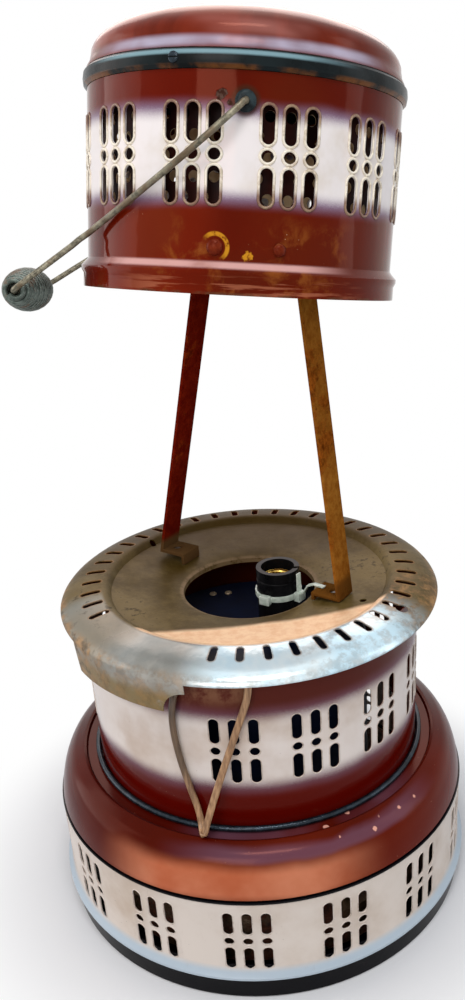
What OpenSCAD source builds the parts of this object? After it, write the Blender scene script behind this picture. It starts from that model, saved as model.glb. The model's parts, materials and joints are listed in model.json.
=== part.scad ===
// Old round enamelled portable heater, converted to a lamp: a perforated base with a drum and a galvanised
// collar, a perforated head raised on two flat straps, a wire bail with a coiled grip, and a lamp holder tied
// inside the collar. Millimetres, +Z up, origin at the centre of the foot, front towards -Y.

/* [Sheet metal] */
// Thickness of the enamelled sheet
sheet = 1; // [0.8:0.1:1.4]
// Clearance between pieces that rest on each other
seat_gap = 0.3; // [0.2:0.05:0.5]

/* [Base] */
// How far the black pan stands out past the white band
pan_out = 1; // [0:0.5:3]
// Height of the pan below the lip of the white band
pan_h = 21; // [16:1:30]
// Height of the pan floor
floor_h = 8; // [5:1:10]
// Diameter of the white band
band_d = 366; // [356:2:392]
// Height of the white band
band_h = 75.7; // [70:0.1:95]
// How far the lip of the band stands out
band_lip = 5; // [2:0.5:8]
// Thickness of the black seam ring
seam_h = 2; // [1:0.5:4]
// Height of the domed shoulder
shoulder_h = 36.4; // [28:0.1:50]
// Diameter of the fuel tank
tank_d = 320; // [280:5:340]
// Height of the fuel tank
tank_h = 46; // [30:1:60]

/* [Middle drum] */
// Diameter of the middle drum
drum_d = 286; // [270:2:300]
// Height of the middle drum
drum_h = 151.4; // [135:0.1:175]
// Thickness of the steel ring round its foot
foot_ring_w = 5; // [3:0.5:7]
// Diameter of the inner drum
inner_d = 200; // [150:5:230]
// Depth of the top of the inner drum below the rim of the middle drum
inner_drop = 55.7; // [40:1:80]

/* [Punched slots] */
// Width of a slot
slot_w = 8.2; // [6:0.1:9]
// Length of a long slot
slot_len = 22.4; // [16:0.2:26]
// Height of the short middle hole
slot_dot = 7.2; // [5:0.1:8]
// Bridge of metal between the hole and a slot
slot_bridge = 3.1; // [2.5:0.1:5]
// Distance between the columns of slots on the drum and band
slot_pitch = 15; // [12:0.2:18]
// Distance between the columns of slots on the head
head_slot_pitch = 14.2; // [12:0.2:17]

/* [Collar] */
// Diameter of the collar
collar_d = 320; // [312:2:344]
// Height of the ridge above the rim
ridge_h = 10.4; // [8:0.2:16]
// Diameter of the ridge
ridge_d = 247; // [240:1:256]
// Diameter of the hole in the dished plate
hole_d = 112; // [100:2:124]
// Drop of the turned-down lip below the rim
apron_h = 30; // [20:1:45]
// Number of places for radial slots, of which the plain sector takes five
collar_slot_places = 42; // [36:1:44]

/* [Straps] */
// Width of a strap
strap_w = 22; // [16:1:26]
// Thickness of a strap
strap_t = 3; // [2:0.2:4]
// Height of the head's pivot above the ground
pivot_z = 560; // [520:1:620]
// Lean of the head at rest
lean = 9.9; // [0:0.1:14]
// Diameter of the pivot bolts
bolt_d = 5; // [4:0.5:6]
// Length of each foot tab
tab_len = 24; // [20:1:28]

/* [Head] */
// Diameter of the head drum
head_d = 223; // [218:1:236]
// Height of the head drum
head_h = 131; // [128:1:150]
// Height of the flared skirt with its bead
skirt_h = 19; // [14:1:22]
// Height of the pivot above the lower rim
pivot_h = 36; // [34:1:44]
// Height of the dark bead ring
bead_h = 11.4; // [8:0.2:16]
// Height of the domed cap
cap_h = 39; // [28:1:60]
// Diameter of the perforated liner
liner_d = 200; // [180:2:208]
// Rows of round holes in the liner
liner_rows = 6; // [3:1:6]
// Height of the bail eyelets above the lower rim
eyelet_h = 114; // [106:1:120]

/* [Bail] */
// Diameter of the bail wire
bail_wire_d = 4.2; // [3:0.1:5]
// Reach of the bail from its pivot to the grip
bail_reach = 197.5; // [185:1:230]
// Droop of the resting bail below the level of its pivot, along the head
bail_droop = 37.2; // [28:0.2:38]
// Length of the coiled grip
grip_len = 96; // [80:2:104]
// Diameter of the grip at its middle
grip_d = 32; // [26:0.5:36]
// Diameter of the grip at its ends
grip_end_d = 15.4; // [13.5:0.2:18]
// Diameter of the grip wire
grip_wire_d = 3.8; // [2.4:0.1:4]
// Turns of the grip
grip_turns = 18; // [12:1:20]

/* [Lamp holder] */
// Diameter of the lamp holder
holder_d = 37; // [34:0.5:42]
// Height of the lamp holder
holder_h = 62; // [50:1:70]
// Inner diameter of its brass screw shell
socket_d = 26.6; // [25:0.1:27]
// Width of the cable ties
tie_w = 4.8; // [3:0.2:6]

/* [Flex] */
// Width of the twin flex
flex_d = 5.6; // [4.6:0.2:5.8]

/* [Hidden] */

round_fn = 96;
small_fn = 32;
eps = 0.01;

// Heights of the stack, each seated on the one below
pan_spigot_h = 12;
band_z = pan_h + seat_gap;
band_top = band_z + band_h;
seam_z = band_top + seat_gap;
shoulder_z = seam_z + seam_h + seat_gap;
shoulder_top = shoulder_z + shoulder_h;
drum_z = shoulder_top + seat_gap;
drum_top = drum_z + drum_h;
tank_z = floor_h + sheet + seat_gap;
inner_z = tank_z + tank_h + seat_gap;
deck_z = drum_top - inner_drop;
holder_z = deck_z + seat_gap;

// Radii
band_r = band_d / 2;
drum_r = drum_d / 2;
inner_r = inner_d / 2;
collar_r = collar_d / 2;
ridge_r = ridge_d / 2;
hole_r = hole_d / 2;
head_r = head_d / 2;
liner_r = liner_d / 2;
flex_r = flex_d / 2;
bolt_r = bolt_d / 2;
run_gap = 0.05;   // radial clearance of a running fit
fit_gap = 0.1;    // radial clearance of a fixed shank in its hole
through = 40;     // length of a cutter that passes right through the collar
wall_cut = 20;    // length of a cutter that passes through one wall

// The rounded slope of the collar, from its ridge out to its rim, rests on the rim of the middle drum
slope_w = collar_r - ridge_r;
slope = [for (p = [[0.12, 0.97], [0.26, 0.93], [0.4, 0.86], [0.53, 0.77], [0.65, 0.66], [0.76, 0.52],
    [0.86, 0.34], [0.94, 0.13], [0.985, -0.06]]) [ridge_r + p[0] * slope_w, p[1] * ridge_h]];
slope_rise = lookup(drum_r, slope);
collar_z = drum_top + seat_gap + 1.04 * sheet - slope_rise;
plate_edge_r = ridge_r - 6.5;
plate_edge_z = collar_z + ridge_h - 5.4;
plate_hole_z = collar_z - 3;
function plate_z(r) = plate_hole_z
    + (plate_edge_z - plate_hole_z) * (r - hole_r - 4) / (plate_edge_r - hole_r - 4);

// Straps: both stand on one line through the head's pivot
yoke_angle = -37;
yoke_x = 11;
yoke_y = 6;
left_foot = -101;
right_foot = 81;
left_top = -36;
right_top = 53;
left_tab_h = 10;
right_tab_h = 7;
strap_top_len = 20;
function yoke_point(along) = [yoke_x + along * cos(yoke_angle), yoke_y + along * sin(yoke_angle)];
function strap_tab_end(foot) = foot - sign(foot) * tab_len;
// Height just clear of the plate under the outer edge of a turned-down foot
function strap_foot_z(foot) = plate_z(norm([norm(yoke_point(strap_tab_end(foot) + sign(foot) * strap_t)),
    strap_w / 2])) + seat_gap;

// Head, measured from its lower rim
skirt_out = 3.4;
bead_out = 4.8;
bar_h = pivot_h + strap_w / 2 + 1.5;
bar_t = 2.5;
bar_w = 20;
liner_z = bar_h + bar_t + seat_gap;
bead_z = head_h + seat_gap;
cap_z = bead_z + bead_h + seat_gap;
liner_columns = 46;
head_slot_h = 83.6;
eyelet_angle = -1.2;
eyelet_r = 6.5;
eyelet_t = 2.5;
eyelet_sleeve_r = 3.7;
eyelet_bore_r = bail_wire_d / 2 + 0.3;

// Rows of slots: angle of the first group, angle between groups, number of groups
head_first = -143.8;
head_step = 31.47;
head_groups = 10;
drum_first = -133.4;
drum_step = 25.14;
drum_groups = 14;
drum_plain = [3, 4, 12, 13];   // groups left out: the drum is plain at its front left and at its back
drum_slot_z = shoulder_top + 74.2;
band_first = -154.7;
band_step = 24.76;
band_groups = 14;
band_slot_z = band_z + 38.3;
collar_first = -12.9;
collar_plain = 5;
collar_slot_in = ridge_r + 2;
collar_slot_out = ridge_r + 19;
collar_slot_w = 5.6;
apron_from = -61;
apron_to = -19;
apron_notch_r = 19;

// Lamp holder
holder_x = 25;
holder_y = 0;
holder_r = holder_d / 2;
shell_t = 0.8;
shell_h = 26;
shell_drop = 9;
shell_z = holder_z + holder_h - shell_drop - shell_h;
tie_t = 1.3;
tie_z = holder_z + holder_h - 25;

// Flex routes, chosen by hand. Angles run from the front towards +X.
function around(angle, r, z) = [r * sin(angle), -r * cos(angle), z];
notch_z = drum_top - 6;
notch_r = flex_r + 0.8;
notch_in = -22;
notch_out = -2;
loop_route = [around(notch_in, 140, notch_z), around(notch_in, 145, notch_z - 0.5),
    around(-22.4, 148.5, notch_z - 5), around(-23.6, 149, notch_z - 16), around(-25.2, 148, 250),
    around(-26, 147, 236), around(-25.9, 146.5, 220), around(-24.6, 146.5, 198), around(-22.4, 146.5, 174),
    around(-20.4, 147.5, 156), around(-19.4, 150, 145.5), around(-18.6, 154, 140.9),
    around(-17.6, 159, 142.4), around(-16.8, 161, 148), around(-15.9, 160, 157), around(-14.1, 156.5, 174),
    around(-11.2, 152, 198), around(-8, 149, 222), around(-5, 148, 244), around(-2.8, 148.6, 262),
    around(-2.1, 148.5, notch_z - 5), around(notch_out, 145, notch_z - 0.5), around(notch_out, 140, notch_z)];
inner_route = [[holder_x - holder_r - 0.4, holder_y, deck_z + 6],
    [holder_x - holder_r - 5, holder_y, deck_z + 5.8],
    [holder_x - 33, -5, deck_z + 5], [holder_x - 42, -18, deck_z + 3.4], [-27, -40, deck_z + 3.2],
    [-36, -66, deck_z + 3.2], [-42, -88, deck_z + 4], [-47, -106, deck_z + 14], [-50.5, -122, deck_z + 32],
    around(notch_in, 135, notch_z - 3.4), around(notch_in, 137.6, notch_z), around(notch_in, 139.6, notch_z)];
gland_z = shoulder_top + 14;
gland_len = 26;
gland_hole_r = 5.2;
return_route = [around(notch_out, 139.6, notch_z), around(notch_out, 137.6, notch_z),
    around(notch_out, 135, notch_z - 3.4),
    around(4, 132, notch_z - 14), around(18, 126, 252), around(40, 120, 232), around(70, 117, 212),
    around(100, 117, 194), around(130, 118, 178), around(155, 121, 164), around(171, 127, 155),
    around(178.5, 133, gland_z + 0.8), around(180, 137, gland_z), around(180, 138.6, gland_z)];
lead_exit = drum_r + gland_len - 1;
coil_out_r = 44;
coil_step = flex_d + 1.2;
coil_in_turns = 3.375;
coil_x = 14;
coil_y = 254;
coil_tie_t = 0.8;
coil_z = flex_r + coil_tie_t + seat_gap + 0.1;
lead_route = [
    [0, lead_exit, gland_z], [0, lead_exit + 5, gland_z], [0, lead_exit + 11.2, gland_z - 0.8],
    [0, lead_exit + 17, gland_z - 3.2], [0, lead_exit + 22, gland_z - 7], [0, lead_exit + 25.8, gland_z - 12],
    [0, lead_exit + 28.2, gland_z - 17.8], [0, lead_exit + 29, gland_z - 25],
    [0, lead_exit + 29, gland_z - 42], [0, lead_exit + 29, gland_z - 60],
    [0, lead_exit + 29, gland_z - 78], [0, lead_exit + 29, gland_z - 96],
    [0, lead_exit + 29, 40], [0, lead_exit + 29, 29], [-0.9, lead_exit + 30.2, 20.4],
    [-3.6, lead_exit + 33.6, 12.9], [-7.8, lead_exit + 38.8, 7.4], [-12.6, lead_exit + 45, 4.6],
    [-18, lead_exit + 51.9, coil_z], [-23.4, lead_exit + 60.4, coil_z], [-27.6, coil_y - 17.2, coil_z],
    [coil_x - coil_out_r, coil_y - 7, coil_z], [coil_x - coil_out_r, coil_y - 0.5, coil_z]];
coil_end_z = coil_z + coil_step;
plug_x = 72;
plug_z = 9;
coil_far_y = coil_y + coil_out_r;
tail_route = [[coil_x + 0.5, coil_far_y, coil_end_z], [coil_x + 7, coil_far_y, coil_end_z],
    [24, coil_far_y, coil_end_z - 1.2], [34, coil_far_y, 7.8], [45, coil_far_y, 6.9],
    [56, coil_far_y, 7.9], [plug_x - 7, coil_far_y, plug_z], [plug_x, coil_far_y, plug_z]];

// ---------- Sheet profiles ----------

function unit(v) = v / norm(v);
function seg_normal(p, i) = let (v = unit(p[i + 1] - p[i])) [-v[1], v[0]];
function miter(p, i) =
    let (a = seg_normal(p, max(i - 1, 0)), b = seg_normal(p, min(i, len(p) - 2)), m = unit(a + b))
    m / (m * a);
// Closed outline of a sheet of thickness t on the left of the path p
function sheet_outline(p, t) = concat(p, [for (i = [len(p) - 1 : -1 : 0]) p[i] + t * miter(p, i)]);
// Quarter of a superellipse, from an upright tangent at (r0, z0) to a level one at (r1, z1)
function dome(r0, z0, r1, z1, n, from, to, steps) = [for (k = [0 : steps])
    let (a = from + (to - from) * k / steps)
    [r1 + (r0 - r1) * pow(cos(a), 2 / n), z0 + (z1 - z0) * pow(sin(a), 2 / n)]];

module spun_sheet(p, t = sheet) {
    rotate_extrude($fn = round_fn) polygon(sheet_outline(p, t));
}

// ---------- Tubes ----------

function tangent(p, i) = unit(p[min(i + 1, len(p) - 1)] - p[max(i - 1, 0)]);
function across(v) = unit(cross(v, abs(v[2]) < 0.9 ? [0, 0, 1] : [1, 0, 0]));
function carried(p, i, last) = i == len(p) ? [] :
    let (t = tangent(p, i), n = i == 0 ? across(t) : unit(last - t * (last * t)))
    concat([n], carried(p, i + 1, n));

// One unbroken tube of radius r along the points p
module tube(p, r, sides) {
    n = carried(p, 0, [0, 0, 1]);
    last = (len(p) - 1) * sides;
    rings = [for (i = [0 : len(p) - 1]) let (t = tangent(p, i), v = cross(t, n[i]))
        for (k = [0 : sides - 1]) p[i] + r * (cos(360 * k / sides) * n[i] + sin(360 * k / sides) * v)];
    walls = [for (i = [0 : len(p) - 2]) for (k = [0 : sides - 1])
        let (a = i * sides, b = a + sides, j = (k + 1) % sides)
        each [[a + k, b + k, b + j], [a + k, b + j, a + j]]];
    caps = [for (k = [1 : sides - 2]) each [[0, k, k + 1], [last, last + k + 1, last + k]]];
    polyhedron(points = rings, faces = concat(walls, caps), convexity = 10);
}

// ---------- Punched slots ----------

module round_slot(w, h) {
    rotate([90, 0, 0]) {
        linear_extrude(wall_cut, center = true) square([w, max(h - w, eps)], center = true);
        for (s = [-1, 1])
            translate([0, s * max(h - w, 0) / 2, 0])
                cylinder(d = w, h = wall_cut, center = true, $fn = small_fn);
    }
}

module slot_column() {
    offset_z = slot_dot / 2 + slot_bridge + slot_len / 2;
    for (s = [-1, 1])
        translate([0, 0, s * offset_z]) round_slot(slot_w, slot_len);
    intersection() {
        rotate([90, 0, 0]) cylinder(d = slot_w, h = wall_cut, center = true, $fn = small_fn);
        cube([slot_w + 1, wall_cut + 1, slot_dot], center = true);
    }
}

// Groups of three columns cut through a wall of radius r, centred at height z
module slot_groups(r, z, pitch, first, step, count, plain = []) {
    turn = pitch / r * 180 / PI;
    for (g = [0 : count - 1]) if (len(search(g, plain)) == 0)
        for (c = [-1 : 1])
            rotate([0, 0, first + g * step + c * turn]) translate([0, -r, z]) slot_column();
}

// ---------- Base ----------

module base_pan() {
    pan_r = band_r + pan_out;
    spigot_r = band_r - sheet - seat_gap;
    color("#151314") spun_sheet([[0, floor_h], [pan_r - 9, floor_h], [pan_r - 8, floor_h - 1],
        [pan_r - 8, 0.8], [pan_r - 7, 0], [pan_r - 1, 0], [pan_r, 1], [pan_r, pan_h - 1],
        [pan_r - 0.8, pan_h], [spigot_r, pan_h], [spigot_r, pan_h + pan_spigot_h]]);
}

module fuel_tank() {
    r = tank_d / 2;
    color("#6b3a22") spun_sheet([[0, tank_z], [r - 4, tank_z], [r, tank_z + 4], [r, tank_z + tank_h - 6],
        [r - 7, tank_z + tank_h], [30, tank_z + tank_h]]);
}

module base_band() {
    color("#e9e2d6") difference() {
        spun_sheet([[band_r + band_lip - 1.2, band_z], [band_r + band_lip, band_z + 1.2],
            [band_r + band_lip, band_z + 3.2], [band_r + 2, band_z + 6.4], [band_r, band_z + 10],
            [band_r, band_top], [band_r - 6, band_top]]);
        slot_groups(band_r, band_slot_z, slot_pitch, band_first, band_step, band_groups);
    }
}

module seam_ring() {
    color("#141212") rotate_extrude($fn = round_fn)
        polygon([[band_r - 6, seam_z], [band_r + 0.2, seam_z], [band_r + 0.8, seam_z + seam_h / 2],
            [band_r + 0.2, seam_z + seam_h], [band_r - 6, seam_z + seam_h]]);
}

module base_shoulder() {
    edge_r = band_r + 1.4;
    flat_r = drum_r + 14;
    color("#7a2b16") spun_sheet(concat(
        dome(edge_r, shoulder_z - shoulder_h, flat_r - 2, shoulder_top + 1.5, 2.68, 24, 78, 12),
        [[flat_r + 4, shoulder_top + 2.2], [flat_r + 2, shoulder_top + 3], [flat_r, shoulder_top + 2.2],
        [flat_r - 1.4, shoulder_top], [drum_r - 6, shoulder_top], [drum_r - 7, shoulder_top - 4]]));
}

module foot_ring() {
    r = foot_ring_w / 2;
    color("#16202b") rotate_extrude($fn = round_fn)
        translate([drum_r + seat_gap + r, shoulder_top + seat_gap + r]) circle(r = r, $fn = small_fn);
}

// ---------- Middle drum and what is in it ----------

module mid_drum() {
    color("#8a3520") difference() {
        spun_sheet([[drum_r - 5, drum_z], [drum_r, drum_z], [drum_r, drum_top]]);
        slot_groups(drum_r, drum_slot_z, slot_pitch, drum_first, drum_step, drum_groups, drum_plain);
        for (a = [notch_in, notch_out]) rotate([0, 0, a]) translate([0, -drum_r, notch_z]) {
            rotate([90, 0, 0]) cylinder(r = notch_r, h = wall_cut, center = true, $fn = small_fn);
            translate([-notch_r, -wall_cut / 2, 0]) cube([2 * notch_r, wall_cut, drum_top - notch_z + 1]);
        }
        translate([0, drum_r, gland_z]) rotate([90, 0, 0])
            cylinder(r = gland_hole_r, h = wall_cut, center = true, $fn = small_fn);
    }
}

module inner_drum() {
    color("#141b2e") difference() {
        spun_sheet([[inner_r, inner_z], [inner_r, deck_z - 2], [inner_r - 2, deck_z], [0, deck_z]]);
        screw_places() cylinder(r = 2 + fit_gap, h = wall_cut, center = true, $fn = small_fn);
    }
}

module screw_places() {
    for (x = [-35, -20.5]) translate([x, inner_r - 25, deck_z]) children();
}

module deck_screws() {
    color("#c9b79a") screw_places() {
        translate([0, 0, seat_gap]) cylinder(r = 3.4, h = 1.8, $fn = small_fn);
        translate([0, 0, -7]) cylinder(r = 2, h = 7.5, $fn = small_fn);
    }
}

// ---------- Collar ----------

module collar_slot(r_in, r_out, w) {
    cut = 2 * ridge_h + through;
    translate([0, -(r_in + r_out) / 2, 0]) cube([w, r_out - r_in - w, cut], center = true);
    for (r = [r_in + w / 2, r_out - w / 2])
        translate([0, -r, 0]) cylinder(d = w, h = cut, center = true, $fn = small_fn);
}

module collar() {
    zr = collar_z + ridge_h;
    color("#9a8f80") difference() {
        union() {
            spun_sheet(concat([[collar_r - 0.3, collar_z - 3.2], [collar_r, collar_z - 1.8]],
                [for (i = [len(slope) - 1 : -1 : 0]) [slope[i][0], collar_z + slope[i][1]]],
                [[ridge_r, zr], [ridge_r - 3.5, zr - 1.4], [plate_edge_r, plate_edge_z],
                [hole_r + 4, plate_hole_z], [hole_r + 0.6, plate_hole_z - 1.4], [hole_r, plate_hole_z - 5]]));
            difference() {
                rotate([0, 0, -90 + apron_from]) rotate_extrude(angle = apron_to - apron_from, $fn = round_fn)
                    polygon(sheet_outline([[collar_r - 2.6, collar_z - apron_h],
                        [collar_r - 1.2, collar_z - apron_h * 0.55], [collar_r - 0.1, collar_z - 5],
                        [collar_r, collar_z - 1.8]], sheet));
                rotate([0, 0, apron_to]) translate([0, -collar_r, collar_z - apron_h]) rotate([90, 0, 0])
                    cylinder(r = apron_notch_r, h = through, center = true, $fn = small_fn);
            }
        }
        for (k = [0 : collar_slot_places - collar_plain - 1])
            rotate([0, 0, collar_first + k * 360 / collar_slot_places])
                translate([0, 0, collar_z]) collar_slot(collar_slot_in, collar_slot_out, collar_slot_w);
        rotate([0, 0, collar_first + 8 * 360 / collar_slot_places])
            translate([0, -collar_slot_out, collar_z])
                cylinder(r = 5, h = through, center = true, $fn = small_fn);
        for (p = [left_foot - 22, right_foot + 19])
            translate([yoke_point(p)[0], yoke_point(p)[1], collar_z])
                cylinder(r = 3, h = through, center = true, $fn = small_fn);
        for (foot = [left_foot, right_foot])
            foot_screw_place(foot)
                cylinder(r = 1.5 + fit_gap, h = through, center = true, $fn = small_fn);
    }
}

// ---------- Straps ----------

module yoke() {
    translate([yoke_x, yoke_y, 0]) rotate([0, 0, yoke_angle]) children();
}

module foot_screw_place(foot) {
    yoke() translate([foot - sign(foot) * 8, 0, strap_foot_z(foot)]) children();
}

module strap(foot, top, tab_h) {
    tab_z = strap_foot_z(foot) + tab_h;
    end = strap_tab_end(foot);
    path = [[end, strap_foot_z(foot)], [end, tab_z], [foot, tab_z], [top, pivot_z - strap_top_len],
        [top, pivot_z]];
    outline = foot < 0 ? sheet_outline(path, strap_t) : sheet_outline(path, -strap_t);
    yoke() difference() {
        union() {
            rotate([90, 0, 0]) linear_extrude(strap_w, center = true) polygon(outline);
            translate([foot < 0 ? top - strap_t : top, 0, pivot_z]) rotate([0, 90, 0])
                cylinder(d = strap_w, h = strap_t, $fn = 64);
        }
        translate([top, 0, pivot_z]) rotate([0, 90, 0])
            cylinder(r = bolt_r + run_gap, h = wall_cut, center = true, $fn = small_fn);
        translate([foot - sign(foot) * 8, 0, tab_z])
            cylinder(r = 3.6, h = wall_cut, center = true, $fn = small_fn);
    }
}

module strap_left() {
    color("#4a1512") strap(left_foot, left_top, left_tab_h);
}

module strap_right() {
    color("#7a4214") strap(right_foot, right_top, right_tab_h);
}

module strap_foot_screws() {
    color("#3a2a1e") for (f = [[left_foot, left_tab_h], [right_foot, right_tab_h]]) {
        foot_screw_place(f[0]) {
            translate([0, 0, -8]) cylinder(r = 1.5, h = 7 + f[1], $fn = small_fn);
            translate([0, 0, f[1] - strap_t - 0.6]) cylinder(r = 3.6 - fit_gap, h = 2, $fn = small_fn);
            translate([0, 0, -7]) cylinder(r = 3, h = 3, $fn = 6);
        }
    }
}

// Each bolt passes through the strap and an ear of the head bracket
module pivot_bolts() {
    ear_t = bar_t;
    color("#3b3634") yoke() for (s = [-1, 1]) {
        top = s < 0 ? left_top : right_top;
        outer = strap_t + seat_gap;
        translate([top, 0, pivot_z]) rotate([0, s * 90, 0]) {
            translate([0, 0, outer]) cylinder(r = bolt_r * 1.9, h = 3.5, $fn = small_fn);
            translate([0, 0, -ear_t - 7]) cylinder(r = bolt_r, h = ear_t + 7 + outer + 1, $fn = small_fn);
            translate([0, 0, -ear_t - 2 * seat_gap - 4.2]) cylinder(r = bolt_r * 1.7, h = 4.2, $fn = 6);
        }
    }
}

// ---------- Lamp holder ----------

module at_holder() {
    translate([holder_x, holder_y, 0]) children();
}

module lamp_holder() {
    top = holder_z + holder_h;
    inner = socket_d / 2 + shell_t + fit_gap;
    color("#0f0f10") at_holder() difference() {
        union() {
            translate([0, 0, holder_z]) cylinder(r = holder_r - 1, h = holder_h, $fn = 64);
            translate([0, 0, holder_z]) cylinder(r = holder_r, h = holder_h - 2, $fn = 64);
        }
        translate([0, 0, shell_z - 4]) cylinder(r = inner, h = top, $fn = 64);
    }
}

module screw_shell() {
    color("#b5933c") at_holder() translate([0, 0, shell_z]) difference() {
        cylinder(r = socket_d / 2 + shell_t, h = shell_h, $fn = 64);
        translate([0, 0, -1]) cylinder(r = socket_d / 2, h = shell_h + 2, $fn = 64);
    }
}

module centre_contact() {
    color("#c8a24c") at_holder() translate([0, 0, shell_z - 4 + seat_gap]) {
        cylinder(r = socket_d / 2 - 1, h = 1, $fn = small_fn);
        cylinder(r = 4, h = 3.4, $fn = small_fn);
    }
}

module cable_tie_body() {
    inner = holder_r + seat_gap;
    color("#d9e0d2") at_holder() {
        rotate_extrude($fn = 64) translate([inner, tie_z]) square([tie_t, tie_w]);
        rotate([0, 0, -34]) translate([-4.5, -inner - 6, tie_z - 1.2]) cube([9, 5.2, tie_w + 2.4]);
    }
}

module cable_tie_link() {
    to_tab = yoke_point(strap_tab_end(right_foot)) - [holder_x, holder_y];
    reach = norm(to_tab);
    turn = atan2(to_tab[1], to_tab[0]);
    start = holder_r + tie_t + 2 * seat_gap;
    tab_z = strap_foot_z(right_foot) + right_tab_h + seat_gap;
    path = [[start + 3, tie_z + 4], [start + 8, tie_z + 7], [reach - 9, tab_z - 2], [reach - 3, tab_z + 0.6],
        [reach + 7, tab_z + 0.6]];
    color("#d9e0d2") at_holder() rotate([0, 0, turn]) {
        rotate([90, 0, 0]) linear_extrude(tie_w - 0.8, center = true) polygon(sheet_outline(path, tie_t));
        translate([start, -4.5, tie_z - 1]) cube([5.4, 9, tie_w + 3]);
        translate([start + 1.4, -tie_w / 2, tie_z]) cube([tie_t, tie_w, 24]);
    }
}

// ---------- Flex ----------

module flex_inner() {
    color("#6d5334") tube(inner_route, flex_r, 8);
}

module flex_return() {
    color("#6d5334") tube(return_route, flex_r, 8);
}

module flex_loop() {
    color("#8a6a3c") tube(loop_route, flex_r, 8);
}

module flex_gland() {
    color("#1a1816") translate([0, drum_r, gland_z]) rotate([-90, 0, 0]) difference() {
        union() {
            translate([0, 0, -sheet - 3]) cylinder(r = gland_hole_r + 1.6, h = 2.6, $fn = small_fn);
            translate([0, 0, -sheet - 3]) cylinder(r = gland_hole_r - fit_gap, h = 8, $fn = small_fn);
            translate([0, 0, 0.8]) cylinder(r = gland_hole_r + 1.6, h = 3, $fn = small_fn);
            translate([0, 0, 3.8]) cylinder(r1 = 6, r2 = flex_r + 1, h = gland_len - 5, $fn = small_fn);
        }
        cylinder(r = flex_r + run_gap, h = 3 * gland_len, center = true, $fn = small_fn);
    }
}

module flex_lead() {
    color("#8a6a3c") tube(lead_route, flex_r, 8);
}

// A coil of two layers: it spirals in, climbs in half a turn and spirals out again
coil_turns = 2 * coil_in_turns + 0.5;
coil_in_r = coil_out_r - coil_in_turns * coil_step;
function coil_radius(t) = t < coil_in_turns ? coil_out_r - t * coil_step :
    t < coil_in_turns + 0.5 ? coil_in_r : coil_in_r + (t - coil_in_turns - 0.5) * coil_step;
function coil_rise(t) = coil_step * min(max((t - coil_in_turns) / 0.5, 0), 1);
function coil_point(t) = let (a = 180 - 360 * t)
    [coil_x + coil_radius(t) * cos(a), coil_y + coil_radius(t) * sin(a), coil_z + coil_rise(t)];
coil_points = [for (k = [0 : 24 * coil_turns]) coil_point(k / 24)];
coil_gap = min([for (i = [0 : len(coil_points) - 1]) for (j = [i + 12 : len(coil_points) - 1])
    norm(coil_points[i] - coil_points[j])]) - flex_d;
echo(coil_gap = coil_gap);

module flex_coil() {
    color("#8a6a3c") tube(coil_points, flex_r, 6);
}

module flex_tail() {
    color("#8a6a3c") tube(tail_route, flex_r, 8);
}

// A band round both layers of the coil, at its far side
module coil_tie() {
    low = coil_z - flex_r - seat_gap;
    high = coil_z + coil_step + flex_r + seat_gap;
    inner = coil_in_r - flex_r - seat_gap - 2.5;
    outer = coil_out_r + flex_r + seat_gap + 0.4;
    color("#1d1c1b") translate([coil_x, coil_y, 0]) rotate([90, 0, 0]) linear_extrude(tie_w, center = true)
        difference() {
            translate([inner - coil_tie_t, low - coil_tie_t])
                square([outer - inner + 2 * coil_tie_t, high - low + 2 * coil_tie_t]);
            translate([inner, low]) square([outer - inner, high - low]);
        }
}

module plug_body() {
    color("#1b1a19") translate([plug_x, coil_far_y, plug_z]) {
        translate([0.2, 0, 0]) rotate([0, 90, 0]) cylinder(r1 = 4.2, r2 = 6.5, h = 11, $fn = small_fn);
        translate([0, 0, -8]) linear_extrude(16)
            polygon([[11, -8], [20, -12], [33, -12], [33, 12], [20, 12], [11, 8]]);
    }
}

module plug_blades() {
    color("#c9b26a") translate([plug_x + 33 - 4, coil_far_y, plug_z])
        for (s = [-1, 1]) translate([4 + seat_gap, s * 6.35 - 0.75, -3.2]) cube([17, 1.5, 6.4]);
}

// ---------- Head ----------

// Carries a piece modelled upright on its lower rim to the leaning head
module on_head() {
    translate([yoke_x, yoke_y, pivot_z]) rotate(a = -lean, v = [cos(yoke_angle), sin(yoke_angle), 0])
        translate([0, 0, -pivot_h]) children();
}

module head_drum() {
    color("#7d2c18") on_head() difference() {
        spun_sheet([[head_r + skirt_out, 0], [head_r + skirt_out, skirt_h - 10],
            [head_r + bead_out, skirt_h - 7], [head_r + bead_out, skirt_h - 4.5],
            [head_r + 1.4, skirt_h - 1], [head_r, skirt_h + 1], [head_r, head_h]]);
        slot_groups(head_r, head_slot_h, head_slot_pitch, head_first, head_step, head_groups);
        eyelet_places() cylinder(r = eyelet_sleeve_r + fit_gap, h = wall_cut, center = true, $fn = small_fn);
        rivet_places() cylinder(r = 2 + fit_gap, h = wall_cut, center = true, $fn = small_fn);
    }
}

module bead_ring() {
    color("#1c2730") on_head() spun_sheet([[head_r - 6, bead_z], [head_r + 0.4, bead_z],
        [head_r + 2.4, bead_z + 2], [head_r + 2.9, bead_z + bead_h / 2], [head_r + 2.4, bead_z + bead_h - 2],
        [head_r + 0.4, bead_z + bead_h], [head_r - 6, bead_z + bead_h]], sheet * 1.2);
}

module head_cap() {
    side = cap_h * 0.24;
    color("#7a2d1a") on_head() spun_sheet(concat(
        [[head_r + 0.4, cap_z], [head_r + 0.4, cap_z + 0.8], [head_r - 1.8, cap_z + side * 0.5]],
        dome(head_r - 2.8, cap_z + side, 31, cap_z + cap_h - 2, 2.03, 0, 84, 14),
        [[31, cap_z + cap_h - 2], [5, cap_z + cap_h], [0, cap_z + cap_h]]));
}

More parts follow.
